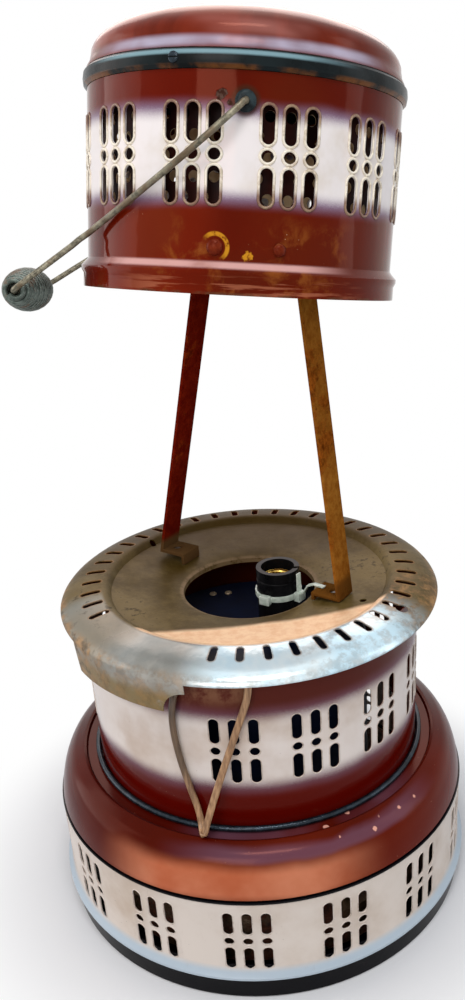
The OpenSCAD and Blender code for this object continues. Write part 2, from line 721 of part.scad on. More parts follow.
// The perforated liner hangs on its top flange and stands on the bracket
module head_liner() {
    top = head_h - 2;
    color("#b9ac93") on_head() difference() {
        spun_sheet([[liner_r, liner_z], [liner_r, top], [head_r - sheet - seat_gap, top]]);
        for (row = [0 : liner_rows - 1])
            for (k = [0 : liner_columns - 1])
                rotate([0, 0, (k + row % 2 / 2) * 360 / liner_columns])
                    translate([0, -liner_r, liner_z + 8 + row * 12.2]) rotate([90, 0, 0])
                        cylinder(d = 7, h = 6, center = true, $fn = small_fn);
    }
}

// A bar across the head under the liner, with an ear for each strap
module head_bracket() {
    half = sqrt(pow(head_r - sheet - seat_gap, 2) - pow(bar_w / 2, 2)) - 0.2;
    color("#4c4642") on_head() rotate([0, 0, yoke_angle]) difference() {
        union() {
            translate([-half, -bar_w / 2, bar_h]) cube([2 * half, bar_w, bar_t]);
            for (s = [-1, 1]) translate([s < 0 ? -half : half - bar_t, -bar_w / 2, bar_h - 14])
                cube([bar_t, bar_w, 14 + bar_t]);
            for (x = [left_top + seat_gap, right_top - seat_gap - bar_t]) {
                translate([x, -8, pivot_h]) cube([bar_t, 16, bar_h - pivot_h + eps]);
                translate([x, 0, pivot_h]) rotate([0, 90, 0]) cylinder(r = 8, h = bar_t, $fn = small_fn);
            }
        }
        translate([-half + 10, 0, pivot_h]) rotate([0, 90, 0])
            cylinder(r = bolt_r + run_gap, h = 2 * half - 20, $fn = small_fn);
    }
}

rivet_h = 28.9;
rivet_angles = [-9.7, 11.5];
rivet_radii = [5.2, 4.2];

// Places and axes of the two front rivets: +Z points out of the drum
module rivet_places() {
    for (i = [0, 1])
        rotate([0, 0, rivet_angles[i]]) translate([0, -head_r, rivet_h]) rotate([90, 0, 0]) {
            $rivet_r = rivet_radii[i];
            children();
        }
}

module catch_plate() {
    r = head_r - sheet - seat_gap;
    color("#5a4a3e") on_head() difference() {
        rotate([0, 0, -90 - 17]) rotate_extrude(angle = 36, $fn = round_fn)
            translate([r - 1.5, rivet_h - 7.5]) square([1.5, 15]);
        rivet_places() cylinder(r = 2 + fit_gap, h = wall_cut, center = true, $fn = small_fn);
    }
}

module front_rivets() {
    color("#8a4a2a") on_head() rivet_places() {
        rotate_extrude($fn = small_fn) polygon(concat([[0, seat_gap], [$rivet_r, seat_gap]],
            [for (a = [10 : 10 : 80]) [$rivet_r * cos(a), seat_gap + 3 * sin(a)]], [[0, 3 + seat_gap]]));
        translate([0, 0, -4.6]) cylinder(r = 2, h = 5.4, $fn = small_fn);
        translate([0, 0, -5]) cylinder(r = 3, h = 1.6, $fn = small_fn);
    }
}

// Places and axes of the two bail eyelets: +Z points out of the drum
module eyelet_places() {
    for (a = [0, 180])
        rotate([0, 0, eyelet_angle + a]) translate([0, -head_r, eyelet_h]) rotate([90, 0, 0]) children();
}

module bail_eyelets() {
    color("#2b2b2c") on_head() eyelet_places() difference() {
        union() {
            translate([0, 0, -sheet - 1.6]) cylinder(r = eyelet_sleeve_r, h = 3, $fn = small_fn);
            translate([0, 0, -sheet - 2.6]) cylinder(r = eyelet_r - 1.2, h = 1.4, $fn = small_fn);
            rotate_extrude($fn = small_fn) polygon([[eyelet_bore_r - 0.2, seat_gap], [eyelet_r, seat_gap],
                [eyelet_r, 1.2], [eyelet_r - 1, 2.1], [eyelet_r - 2.2, eyelet_t],
                [eyelet_bore_r - 0.2, eyelet_t]]);
        }
        cylinder(r = eyelet_bore_r, h = wall_cut, center = true, $fn = small_fn);
    }
}

// ---------- Bail ----------

// Local frame of the bail: X from the pivot to the grip, Y along the pivot to the front, Z away from the head
module on_bail() {
    on_head() translate([0, 0, eyelet_h]) rotate([0, 0, 180 + eyelet_angle]) rotate([0, bail_droop, 0])
        children();
}

// The arms of the bail, from inside an eyelet to the end of the grip: distance from the pivot, distance to
// the side, and height over the plane of the bail for the front arm and for the rear arm
bail_out = head_r + 6.2;
bail_bends = [[0, bail_out - 4, 0, 0], [0, bail_out - 1.6, 0, 0], [1.6, bail_out, -0.2, -0.2],
    [12, bail_out + 1.6, -1.5, -1.5], [30, bail_out + 1.4, -3, -3], [46, bail_out - 2.6, -3.7, -3.9],
    [62, bail_out - 9, -3.9, -4.4], [82, bail_out - 19.8, -3.5, -4.4], [100, bail_out - 32.6, -2.6, -4.2],
    [118, bail_out - 48.4, -1.3, -4], [131, bail_out - 61, -0.2, -4], [138, 56.5, 0, -4],
    [145, 53.5, 0, -3.6], [165, 52.8, 0, -2], [bail_reach - 12, grip_len / 2 + 4.6, 0, -0.6],
    [bail_reach - 5, grip_len / 2 + 4, 0, 0], [bail_reach - 1.4, grip_len / 2 + 2.4, 0, 0],
    [bail_reach, grip_len / 2 - 1, 0, 0]];
bail_pin_in = head_r - 5.4;
function bail_arm(side, column) = [for (b = bail_bends) [b[0], side * b[1], b[column]]];
function reversed(p) = [for (i = [len(p) - 1 : -1 : 0]) p[i]];

module bail() {
    r = bail_wire_d / 2;
    color("#5c5a50") on_bail() {
        tube(concat(bail_arm(1, 2), reversed(bail_arm(-1, 3))), r - 0.05, 12);
        for (s = [-1, 1]) rotate([s * -90, 0, 0]) {
            translate([0, 0, bail_pin_in]) cylinder(r = r, h = bail_out - 2.6 - bail_pin_in, $fn = small_fn);
            translate([0, 0, bail_pin_in - 0.8]) cylinder(r = r + 1.6, h = 1.6, $fn = small_fn);
        }
    }
}

// The grip: one wire wound round the bail, wide in the middle and closing towards both ends
function grip_radius(u) = let (e = grip_end_d / 2 - grip_wire_d / 2, m = grip_d / 2 - grip_wire_d / 2,
    hug = bail_wire_d / 2 + seat_gap + grip_wire_d / 2, grown = min(1, min(u, 1 - u) * grip_turns / 0.8))
    hug + (e - hug) * grown + (m - e) * pow(sin(180 * u), 0.8);
grip_steps = 8 * grip_turns;
function grip_point(k) = let (u = k / grip_steps, r = grip_radius(u), a = 360 * grip_turns * u)
    [r * cos(a), (u - 0.5) * (grip_len - grip_wire_d), r * sin(a)];
grip_points = [for (k = [0 : grip_steps]) grip_point(k)];
grip_gap = min([for (i = [0 : grip_steps]) for (j = [i + 6 : grip_steps])
    norm(grip_points[i] - grip_points[j])]) - grip_wire_d;
echo(grip_gap = grip_gap);

module coil_grip() {
    color("#4d5a56") on_bail() translate([bail_reach, 0, 0]) tube(grip_points, grip_wire_d / 2, 6);
}

// ---------- Nodes ----------

base_pan();
fuel_tank();
base_band();
seam_ring();
base_shoulder();
foot_ring();
mid_drum();
inner_drum();
deck_screws();
collar();
strap_left();
strap_right();
strap_foot_screws();
pivot_bolts();
lamp_holder();
screw_shell();
centre_contact();
cable_tie_body();
cable_tie_link();
flex_inner();
flex_return();
flex_loop();
flex_gland();
flex_lead();
flex_coil();
flex_tail();
coil_tie();
plug_body();
plug_blades();
head_drum();
bead_ring();
head_cap();
head_liner();
head_bracket();
catch_plate();
front_rivets();
bail_eyelets();
bail();
coil_grip();
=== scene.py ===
"""Looks for a round enamelled portable heater that was made into a lamp. Metres, +Z up, front towards -Y."""

import json
import math

import bpy
from mathutils import Matrix, Vector

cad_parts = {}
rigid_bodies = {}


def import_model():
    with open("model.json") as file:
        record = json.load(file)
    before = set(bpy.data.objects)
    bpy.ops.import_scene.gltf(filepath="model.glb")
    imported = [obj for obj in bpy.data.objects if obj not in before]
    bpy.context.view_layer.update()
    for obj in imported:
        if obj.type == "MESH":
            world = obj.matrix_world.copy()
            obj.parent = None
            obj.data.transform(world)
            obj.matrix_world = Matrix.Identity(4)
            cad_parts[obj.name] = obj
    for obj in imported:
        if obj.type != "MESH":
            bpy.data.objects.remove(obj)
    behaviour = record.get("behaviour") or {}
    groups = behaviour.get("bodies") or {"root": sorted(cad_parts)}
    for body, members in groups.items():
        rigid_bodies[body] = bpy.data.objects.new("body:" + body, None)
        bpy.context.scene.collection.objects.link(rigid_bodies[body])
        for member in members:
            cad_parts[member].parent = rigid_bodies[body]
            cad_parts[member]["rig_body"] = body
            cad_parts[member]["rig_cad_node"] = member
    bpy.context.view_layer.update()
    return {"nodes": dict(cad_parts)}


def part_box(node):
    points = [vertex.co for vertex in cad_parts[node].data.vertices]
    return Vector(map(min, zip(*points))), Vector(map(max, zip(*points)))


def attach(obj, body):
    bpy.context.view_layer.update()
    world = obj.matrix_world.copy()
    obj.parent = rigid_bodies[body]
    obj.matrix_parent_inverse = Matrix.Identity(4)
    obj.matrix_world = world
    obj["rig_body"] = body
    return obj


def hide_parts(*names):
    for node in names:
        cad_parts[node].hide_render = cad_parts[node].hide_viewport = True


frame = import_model()
NODES = frame["nodes"]
bpy.ops.object.select_all(action="DESELECT")

MM = 0.001
STAND = Matrix.Identity(4)
UP = Vector((0, 0, 1))


def mm(x, y, z):
    return Vector((x, y, z)) * MM


def turned(degrees, axis="Z"):
    return Matrix.Rotation(math.radians(degrees), 4, axis)


def linked(thing):
    """Puts an object in the scene."""
    bpy.context.scene.collection.objects.link(thing)
    return thing


# ---------- The photo's camera ----------

CAMERA_AT = Vector((0, -0.71184, 0.63888))
CAMERA_AHEAD = Vector((0.03261777, 0.91125013, -0.41055971))
CAMERA_RIGHT = Vector((0.99719834, -0.05733824, -0.04803954))
CAMERA_ABOVE = Vector((0.06731681, 0.40784252, 0.91056736))


def set_camera():
    """The camera that took the photo, as fitted to the rims and the rows of slots."""
    data = bpy.data.cameras.new("camera")
    data.sensor_width = 36
    data.lens = 33.27
    data.shift_x = -0.0441
    data.shift_y = 0.0405
    data.clip_start = 0.05
    camera = linked(bpy.data.objects.new("camera", data))
    turn = Matrix((CAMERA_RIGHT, CAMERA_ABOVE, -CAMERA_AHEAD)).transposed()
    camera.matrix_world = Matrix.Translation(CAMERA_AT) @ turn.to_4x4()
    bpy.context.scene.camera = camera


set_camera()


# ---------- Places and sizes shared with the construction ----------

# Sizes in capitals are in millimetres, unless they are written with MM.
HEAD_R = 111.5
DRUM_R = 143.0
BAND_R = 183.0
SHOULDER_TOP = 136.0
DRUM_TOP = 287.7
DECK_Z = 232.0
NOTCH_Z = DRUM_TOP - 6
GLAND_Z = SHOULDER_TOP + 14

YOKE = mm(11, 6, 560)
YOKE_TURN = math.radians(-37)
YOKE_AXIS = Vector((math.cos(YOKE_TURN), math.sin(YOKE_TURN), 0))
HEAD = (Matrix.Translation(YOKE) @ Matrix.Rotation(math.radians(-9.9), 4, YOKE_AXIS)
        @ Matrix.Translation(mm(0, 0, -36)))
EYELET_ANGLE = -1.2
BAIL = HEAD @ Matrix.Translation(mm(0, 0, 114)) @ turned(180 + EYELET_ANGLE) @ turned(37.2, "Y")
BAIL_REACH = 197.5

SLOT_W = 8.2
SLOT_LEN = 22.4
DOT_LEN = 7.2
SLOT_OFF = DOT_LEN / 2 + 3.1 + SLOT_LEN / 2


def around(angle, r, z):
    """A point at an angle from the front towards +X, in millimetres."""
    turn = math.radians(angle)
    return mm(r * math.sin(turn), -r * math.cos(turn), z)


# ---------- Modelling helpers ----------

def lone(piece):
    """Makes a piece the only one selected, and the active one."""
    bpy.ops.object.select_all(action="DESELECT")
    piece.select_set(True)
    bpy.context.view_layer.objects.active = piece
    return piece


def go_to(mode):
    bpy.ops.object.mode_set(mode=mode)


def smoothed(piece, angle):
    """Smooths a piece but for the edges sharper than an angle in degrees."""
    lone(piece)
    bpy.ops.object.shade_smooth_by_angle(angle=math.radians(angle))
    return piece


def settled(piece, name, body, slot, *nodes):
    """Names a finished piece, fixes its place in its mesh, gives it its body and hides the nodes that it
    replaces; slot is not used.
    """
    lone(piece)
    bpy.ops.object.transform_apply(location=True, rotation=True, scale=True)
    piece.name = name
    piece.data.name = name
    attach(piece, body)
    if nodes:
        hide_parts(*nodes)
    return piece


def pick(piece, wanted):
    """Goes to edit mode with only the vertices selected whose place is wanted."""
    lone(piece)
    go_to("EDIT")
    bpy.ops.mesh.select_mode(type="VERT")
    bpy.ops.mesh.select_all(action="DESELECT")
    go_to("OBJECT")
    for vertex in piece.data.vertices:
        vertex.select = wanted(vertex.co)
    go_to("EDIT")


def made_even(piece, angle=35):
    """Turns the faces outwards and smooths all but the sharp edges."""
    lone(piece)
    go_to("EDIT")
    bpy.ops.mesh.select_all(action="SELECT")
    bpy.ops.mesh.normals_make_consistent(inside=False)
    go_to("OBJECT")
    smoothed(piece, angle)


def with_modifier(piece, kind, **settings):
    """Adds a modifier to a piece and applies it."""
    lone(piece)
    change = piece.modifiers.new(kind.lower(), kind)
    for key, value in settings.items():
        setattr(change, key, value)
    bpy.ops.object.modifier_apply(modifier=change.name)
    return piece


def bevelled(piece, width, segments, angle=50):
    """Breaks the sharp edges of a piece with a bevel of a width in millimetres."""
    return with_modifier(piece, "BEVEL", width=width * MM, segments=segments, limit_method="ANGLE",
                         angle_limit=math.radians(angle))


def joined(pieces):
    """Joins pieces into the first of them."""
    lone(pieces[0])
    for piece in pieces:
        piece.select_set(True)
    bpy.ops.object.join()
    return pieces[0]


def skinned(node, name, slot, body="stand", angle=35, bevel=0.0, segments=2):
    """A copy of a node as one skin, with its sharp edges broken by a bevel where one is given."""
    piece = NODES[node].copy()
    piece.data = NODES[node].data.copy()
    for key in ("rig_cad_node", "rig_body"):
        del piece[key]
    piece.parent = None
    piece.matrix_world = STAND
    lone(linked(piece))
    bpy.ops.mesh.customdata_custom_splitnormals_clear()
    go_to("EDIT")
    bpy.ops.mesh.select_all(action="SELECT")
    bpy.ops.mesh.remove_doubles(threshold=0.004 * MM)
    if bevel:
        bpy.ops.mesh.dissolve_limited(angle_limit=math.radians(1))
    go_to("OBJECT")
    if bevel:
        bevelled(piece, bevel, segments, 40)
    return settled(smoothed(piece, angle), name, body, slot, node)


def planted(pattern, places):
    """One piece made of copies of a pattern, one at each place."""
    copies = []
    for place in places:
        copy = pattern.copy()
        copy.data = pattern.data.copy()
        copy.data.transform(place)
        copies.append(linked(copy))
    bpy.data.objects.remove(pattern)
    return joined(copies)


def smooth_path(points, step):
    """Points about a step apart on a smooth curve through the given points."""
    ends = [points[0] * 2 - points[1]] + points + [points[-1] * 2 - points[-2]]
    path = []
    for a, b, c, d in zip(ends, ends[1:], ends[2:], ends[3:]):
        knots = [0.0]
        for one, other in ((a, b), (b, c), (c, d)):
            knots.append(knots[-1] + (other - one).length ** 0.5)
        count = max(1, round((c - b).length / step))
        for k in range(count):
            t = knots[1] + (knots[2] - knots[1]) * k / count
            low = [p.lerp(q, (t - u) / (v - u)) for p, q, u, v in zip((a, b, c), (b, c, d), knots, knots[1:])]
            mid = [low[i].lerp(low[i + 1], (t - knots[i]) / (knots[i + 2] - knots[i])) for i in (0, 1)]
            path.append(mid[0].lerp(mid[1], (t - knots[1]) / (knots[2] - knots[1])))
    return path + [points[-1]]


def sweep(name, path, profile, outward):
    """A skin along a path. profile holds (across, out) offsets; outward(point, tangent) is the way out."""
    corners = []
    for i, point in enumerate(path):
        tangent = (path[min(i + 1, len(path) - 1)] - path[max(i - 1, 0)]).normalized()
        across = tangent.cross(outward(point, tangent)).normalized()
        out = across.cross(tangent)
        corners += [point + across * a + out * b for a, b in profile]
    count = len(profile)
    faces = [(i + k, i + (k + 1) % count, i + count + (k + 1) % count, i + count + k)
             for i in range(0, len(corners) - count, count) for k in range(count)]
    faces += [tuple(range(count)), tuple(range(len(corners) - count, len(corners)))]
    mesh = bpy.data.meshes.new(name)
    mesh.from_pydata(corners, [], faces)
    piece = linked(bpy.data.objects.new(name, mesh))
    made_even(piece, 60)
    return piece


# ---------- Twin flex ----------

FLEX_W = 5.6 * MM
LOBE_R = 1.65 * MM
LOBE_OFF = FLEX_W / 2 - LOBE_R
LOBE_STEPS = 8
CUSP = math.pi - math.acos(LOBE_OFF / LOBE_R)
TWIN = [(side * (LOBE_OFF + LOBE_R * math.cos(turn)), side * LOBE_R * math.sin(turn))
        for side in (1, -1)
        for turn in [CUSP * (2 * k / LOBE_STEPS - 1) for k in range(LOBE_STEPS)]]
FLEX_STEP = 3 * MM


def off_the_wall(point, tangent):
    """The flat side of the flex faces away from the upright axis, and up where the flex runs in or out."""
    radial = Vector((point.x, point.y, 0)).normalized()
    running_out = abs(tangent.dot(radial))
    return radial * (1 - running_out) + UP * running_out


LOOP_ROUTE = [around(*p) for p in (
    (-22, 140, NOTCH_Z), (-22, 145, NOTCH_Z - 0.5), (-22.4, 148.5, NOTCH_Z - 5), (-23.6, 149, NOTCH_Z - 16),
    (-25.2, 148, 250), (-26, 147, 236), (-25.9, 146.5, 220), (-24.6, 146.5, 198), (-22.4, 146.5, 174),
    (-20.4, 147.5, 156), (-19.4, 150, 145.5), (-18.6, 154, 140.9), (-17.6, 159, 142.4), (-16.8, 161, 148),
    (-15.9, 160, 157), (-14.1, 156.5, 174), (-11.2, 152, 198), (-8, 149, 222), (-5, 148, 244),
    (-2.8, 148.6, 262), (-2.1, 148.5, NOTCH_Z - 5), (-2, 145, NOTCH_Z - 0.5), (-2, 140, NOTCH_Z))]
INNER_ROUTE = [mm(*p) for p in (
    (6.1, 0, DECK_Z + 6), (1.5, 0, DECK_Z + 5.8), (-8, -5, DECK_Z + 5), (-17, -18, DECK_Z + 3.4),
    (-27, -40, DECK_Z + 3.2), (-36, -66, DECK_Z + 3.2), (-42, -88, DECK_Z + 4), (-47, -106, DECK_Z + 14),
    (-50.5, -122, DECK_Z + 32))] + [around(*p) for p in (
        (-22, 135, NOTCH_Z - 3.4), (-22, 137.6, NOTCH_Z), (-22, 139.6, NOTCH_Z))]
RETURN_ROUTE = [around(*p) for p in (
    (-2, 139.6, NOTCH_Z), (-2, 137.6, NOTCH_Z), (-2, 135, NOTCH_Z - 3.4), (4, 132, NOTCH_Z - 14),
    (18, 126, 252), (40, 120, 232), (70, 117, 212), (100, 117, 194), (130, 118, 178), (155, 121, 164),
    (171, 127, 155), (178.5, 133, GLAND_Z + 0.8), (180, 137, GLAND_Z), (180, 138.6, GLAND_Z))]

LEAD_EXIT = 168.0
LEAD_DROP = LEAD_EXIT + 29
COIL_X = 14.0
COIL_Y = 254.0
COIL_Z = 4.0
COIL_OUT_R = 44.0
COIL_STEP = 6.8
COIL_IN_TURNS = 3.375
COIL_CLIMB_TURNS = 0.5
COIL_TURNS = 2 * COIL_IN_TURNS + COIL_CLIMB_TURNS
COIL_FAR_Y = COIL_Y + COIL_OUT_R
COIL_POINTS = 24
PLUG_X = 72.0
PLUG_Z = 9.0
LEAD_ROUTE = [mm(*p) for p in (
    (0, LEAD_EXIT, GLAND_Z), (0, LEAD_EXIT + 5, GLAND_Z), (0, LEAD_EXIT + 11.2, GLAND_Z - 0.8),
    (0, LEAD_EXIT + 17, GLAND_Z - 3.2), (0, LEAD_EXIT + 22, GLAND_Z - 7),
    (0, LEAD_EXIT + 25.8, GLAND_Z - 12), (0, LEAD_EXIT + 28.2, GLAND_Z - 17.8),
    *[(0, LEAD_DROP, GLAND_Z - fall) for fall in (25, 42, 60, 78, 96)],
    (0, LEAD_DROP, 40), (0, LEAD_DROP, 29), (-0.9, LEAD_EXIT + 30.2, 20.4),
    (-3.6, LEAD_EXIT + 33.6, 12.9), (-7.8, LEAD_EXIT + 38.8, 7.4), (-12.6, LEAD_EXIT + 45, 4.6),
    (-18, LEAD_EXIT + 51.9, COIL_Z), (-23.4, LEAD_EXIT + 60.4, COIL_Z), (-27.6, COIL_Y - 17.2, COIL_Z),
    (COIL_X - COIL_OUT_R, COIL_Y - 7, COIL_Z))]
TAIL_ROUTE = [mm(*p) for p in (
    (COIL_X + 7, COIL_FAR_Y, COIL_Z + COIL_STEP), (24, COIL_FAR_Y, COIL_Z + COIL_STEP - 1.2),
    (34, COIL_FAR_Y, 7.8), (45, COIL_FAR_Y, 6.9), (56, COIL_FAR_Y, 7.9), (PLUG_X - 7, COIL_FAR_Y, PLUG_Z),
    (PLUG_X, COIL_FAR_Y, PLUG_Z))]


def coil_point(turns):
    """A point of the coil, which spirals in, climbs in half a turn and spirals out again."""
    beyond = turns - COIL_IN_TURNS
    climbed = min(max(beyond / COIL_CLIMB_TURNS, 0), 1)
    wound = turns if beyond < 0 else COIL_IN_TURNS - max(beyond - COIL_CLIMB_TURNS, 0)
    r = COIL_OUT_R - wound * COIL_STEP
    a = math.pi - math.tau * turns
    return mm(COIL_X + r * math.cos(a), COIL_Y + r * math.sin(a), COIL_Z + COIL_STEP * climbed)


LEAD_TWIST_Y = 205
LEAD_TWIST_LENGTH = 40
TAIL_X = 20
TAIL_Y = 297


def lead_outward(point, tangent):
    """Up from the lead where it hangs, out from the middle of the coil, and sideways along the tail."""
    hanging = Vector((1, 0, 0)).cross(tangent)
    wound = Vector((point.x - COIL_X * MM, point.y - COIL_Y * MM, 0)).normalized()
    if point.x > TAIL_X * MM and point.y > TAIL_Y * MM:
        wound = UP.cross(tangent).normalized()
    near = min(max((point.y - LEAD_TWIST_Y * MM) / (LEAD_TWIST_LENGTH * MM), 0), 1)
    return hanging.lerp(wound, near) if near < 1 else wound


def make_flex():
    """The flex on and in the drum, and the mains lead with its plug and fittings."""
    for name, route, node in (("twin_flex_loop", LOOP_ROUTE, "flex_loop"),
                              ("twin_flex_inside", INNER_ROUTE, "flex_inner"),
                              ("twin_flex_return", RETURN_ROUTE, "flex_return")):
        path = smooth_path(route, FLEX_STEP)
        piece = settled(sweep(name, path, TWIN, off_the_wall), name, "stand", "flex_gold", node)
    coil = [coil_point(k / COIL_POINTS) for k in range(int(COIL_POINTS * COIL_TURNS) + 1)]
    path = smooth_path(LEAD_ROUTE + coil + TAIL_ROUTE, FLEX_STEP)
    lead = settled(sweep("twin_flex_lead", path, TWIN, lead_outward), "twin_flex_lead", "stand", "flex_gold",
                   "flex_lead", "flex_coil", "flex_tail")
    plug = skinned("plug_body", "plug_moulding", "rubber_black", bevel=1.6, segments=3)
    blades = skinned("plug_blades", "plug_pins", "brass", bevel=0.3)
    tie = skinned("coil_tie", "coil_strap", "tie_black", bevel=0.3)
    gland = skinned("flex_gland", "flex_strain_relief", "rubber_black", bevel=0.4)


make_flex()


# ---------- Pieces ----------

def slot_lip(length, lip, thick, segments, sides):
    """A rolled lip round one slot, upright in the XZ plane: a torus parted at its middle."""
    bpy.ops.mesh.primitive_torus_add(major_segments=segments, minor_segments=sides,
                                     major_radius=(SLOT_W / 2 + lip) * MM, minor_radius=thick * MM)
    ring = bpy.context.object
    ring.data.transform(turned(90, "X") @ turned(180 / segments))
    for side in (1, -1):
        pick(ring, lambda at: at.z * side > 0)
        bpy.ops.transform.translate(value=(0, 0, side * (length - SLOT_W) / 2 * MM))
        go_to("OBJECT")
    return smoothed(ring, 80)


def slot_lips(name, body, slot, place, r, z, pitch, first, step, groups, left_out=(), lip=0.35, thick=0.55,
              segments=16, sides=4, flat=1.0):
    """The lips of all the slots of one wall, in groups of three columns."""
    turn = math.degrees(pitch / r)
    columns = [first + step * g + turn * c for g in range(groups) if g not in left_out for c in (-1, 0, 1)]
    parts = []
    for length, heights in ((SLOT_LEN, (SLOT_OFF, -SLOT_OFF)), (DOT_LEN, (0,))):
        ring = slot_lip(length, lip, thick, segments, sides)
        ring.data.transform(Matrix.Diagonal((1, flat, 1, 1)))
        parts.append(planted(ring, [place @ turned(a) @ Matrix.Translation(mm(0, -r, z + h))
                                    for a in columns for h in heights]))
    return settled(joined(parts), name, body, slot)


GRIP_TURNS = 18
GRIP_STEPS = 24
GRIP_LENGTH = 96
GRIP_WIRE_R = 1.9
GRIP_WIRE_SIDES = 12
GRIP_HUG_R = 4.2 / 2 + 0.3 + GRIP_WIRE_R
GRIP_END_R = 15.4 / 2 - GRIP_WIRE_R
GRIP_MIDDLE_R = 32 / 2 - GRIP_WIRE_R
GRIP_GROWING_TURNS = 0.8
GRIP_SWELL = 0.8


def grip_radius(u):
    """Distance of the wire from the middle of the grip: close at both ends, wide at the middle."""
    grown = min(1, min(u, 1 - u) * GRIP_TURNS / GRIP_GROWING_TURNS)
    swollen = math.sin(math.pi * u) ** GRIP_SWELL
    return GRIP_HUG_R + (GRIP_END_R - GRIP_HUG_R) * grown + (GRIP_MIDDLE_R - GRIP_END_R) * swollen


def make_grip():
    """The coiled wire grip on the bail."""
    path = []
    for k in range(GRIP_TURNS * GRIP_STEPS + 1):
        u = k / (GRIP_TURNS * GRIP_STEPS)
        r = grip_radius(u)
        a = math.tau * GRIP_TURNS * u
        y = (u - 0.5) * (GRIP_LENGTH - 2 * GRIP_WIRE_R)
        path.append(BAIL @ mm(BAIL_REACH + r * math.cos(a), y, r * math.sin(a)))
    turns = [math.tau * k / GRIP_WIRE_SIDES for k in range(GRIP_WIRE_SIDES)]
    round_wire = [(GRIP_WIRE_R * MM * math.cos(a), GRIP_WIRE_R * MM * math.sin(a)) for a in turns]
    middle = BAIL @ mm(BAIL_REACH, 0, 0)
    along = (BAIL.to_3x3() @ Vector((0, 1, 0))).normalized()
    wound = sweep("wound_grip", path, round_wire,
                  lambda at, way: (at - middle) - along * (at - middle).dot(along))
    return settled(wound, "wound_grip", "grip", "grip_steel", "coil_grip")


SHELL_COLUMNS = 72
SHELL_ROWS = 64
SHELL_INSET = 0.75
SHELL_WALL = 0.4
THREAD_PITCH = 3.63
THREAD_DEPTH = 0.45


def make_shell():
    """The brass lining of the lamp holder, with its rolled thread."""
    low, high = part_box("screw_shell")
    middle = (low + high) / 2
    bpy.ops.mesh.primitive_grid_add(x_subdivisions=SHELL_COLUMNS, y_subdivisions=SHELL_ROWS, size=2)
    shell = bpy.context.object
    depth = THREAD_DEPTH * MM
    mean = (high.x - low.x) / 2 - SHELL_INSET * MM - depth
    for vertex in shell.data.vertices:
        a = math.pi * (vertex.co.x + 1)
        z = low.z + (high.z - low.z) * (vertex.co.y + 1) / 2
        r = mean + depth * math.cos(math.tau * z / (THREAD_PITCH * MM) - a)
        vertex.co = (middle.x + r * math.cos(a), middle.y + r * math.sin(a), z)
    pick(shell, lambda at: True)
    bpy.ops.mesh.remove_doubles(threshold=0.01 * MM)
    go_to("OBJECT")
    with_modifier(shell, "SOLIDIFY", thickness=SHELL_WALL * MM, offset=0)
    made_even(shell, 60)
    return settled(shell, "threaded_shell", "stand", "brass", "screw_shell")


def cut(piece, tool):
    """Cuts a tool out of a piece and removes the tool."""
    with_modifier(piece, "BOOLEAN", object=tool, operation="DIFFERENCE", solver="EXACT")
    bpy.data.objects.remove(tool)


def cut_block(piece, place, size, turn=0):
    """Cuts a block of a size in millimetres out of a piece, such as a driver slot."""
    bpy.ops.mesh.primitive_cube_add(size=1, location=place)
    bpy.ops.transform.resize(value=[side * MM for side in size])
    bpy.context.object.rotation_euler.z = math.radians(turn)
    cut(piece, lone(bpy.context.object))


HOLDER_SIDES = 96
HOLDER_BORE_R = 14.3
HOLDER_BORE_DEEP = 34
HOLDER_TOOL_DEEP = 80
HOLDER_GROOVE_R = 0.9
HOLDER_GROOVE_OUT = 0.3
HOLDER_GROOVE_DOWN = 9.4
HOLDER_NOTCH = (8, 3.4, 2.2)
HOLDER_NOTCH_X = 17
HOLDER_NOTCH_Y = -5


def make_holder():
    """The moulded holder: a notch in its top ring and a shallow groove below it."""
    low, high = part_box("lamp_holder")
    middle = (low + high) / 2
    outer = (high.x - low.x) / 2
    bpy.ops.mesh.primitive_cylinder_add(vertices=HOLDER_SIDES, radius=outer, depth=high.z - low.z,
                                        location=middle)
    body = bpy.context.object
    bpy.ops.object.transform_apply(location=True)
    tool_z = high.z + (HOLDER_TOOL_DEEP / 2 - HOLDER_BORE_DEEP) * MM
    bpy.ops.mesh.primitive_cylinder_add(vertices=HOLDER_SIDES, radius=HOLDER_BORE_R * MM,
                                        depth=HOLDER_TOOL_DEEP * MM, location=(middle.x, middle.y, tool_z))
    cut(body, lone(bpy.context.object))
    bpy.ops.mesh.primitive_torus_add(major_segments=HOLDER_SIDES, minor_segments=8,
                                     minor_radius=HOLDER_GROOVE_R * MM,
                                     major_radius=outer + HOLDER_GROOVE_OUT * MM,
                                     location=(middle.x, middle.y, high.z - HOLDER_GROOVE_DOWN * MM))
    cut(body, lone(bpy.context.object))
    cut_block(body, (middle.x + HOLDER_NOTCH_X * MM, middle.y + HOLDER_NOTCH_Y * MM, high.z), HOLDER_NOTCH)
    bevelled(body, 0.55, 2)
    made_even(body)
    return settled(body, "holder_moulding", "stand", "holder_black", "lamp_holder")


SCREW_R = 3.4
SCREW_DEEP = 1.8
SCREW_SLOT = (9, 1.0, 1.4)
LEFT_SCREW_TURN = 20
RIGHT_SCREW_TURN = -35


def make_deck_screws():
    """Two pan-headed screws with a driver slot."""
    low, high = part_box("deck_screws")
    y = (low.y + high.y) / 2
    heads = []
    for x, turn in ((low.x + SCREW_R * MM, LEFT_SCREW_TURN), (high.x - SCREW_R * MM, RIGHT_SCREW_TURN)):
        bpy.ops.mesh.primitive_cylinder_add(vertices=32, radius=SCREW_R * MM, depth=SCREW_DEEP * MM,
                                            location=(x, y, high.z - SCREW_DEEP / 2 * MM))
        head = bpy.context.object
        bpy.ops.object.transform_apply(location=True)
        bevelled(head, 0.7, 3)
        cut_block(head, (x, y, high.z), SCREW_SLOT, turn)
        heads.append(head)
    made_even(joined(heads))
    return settled(heads[0], "deck_screw_heads", "stand", "pale_screw", "deck_screws")


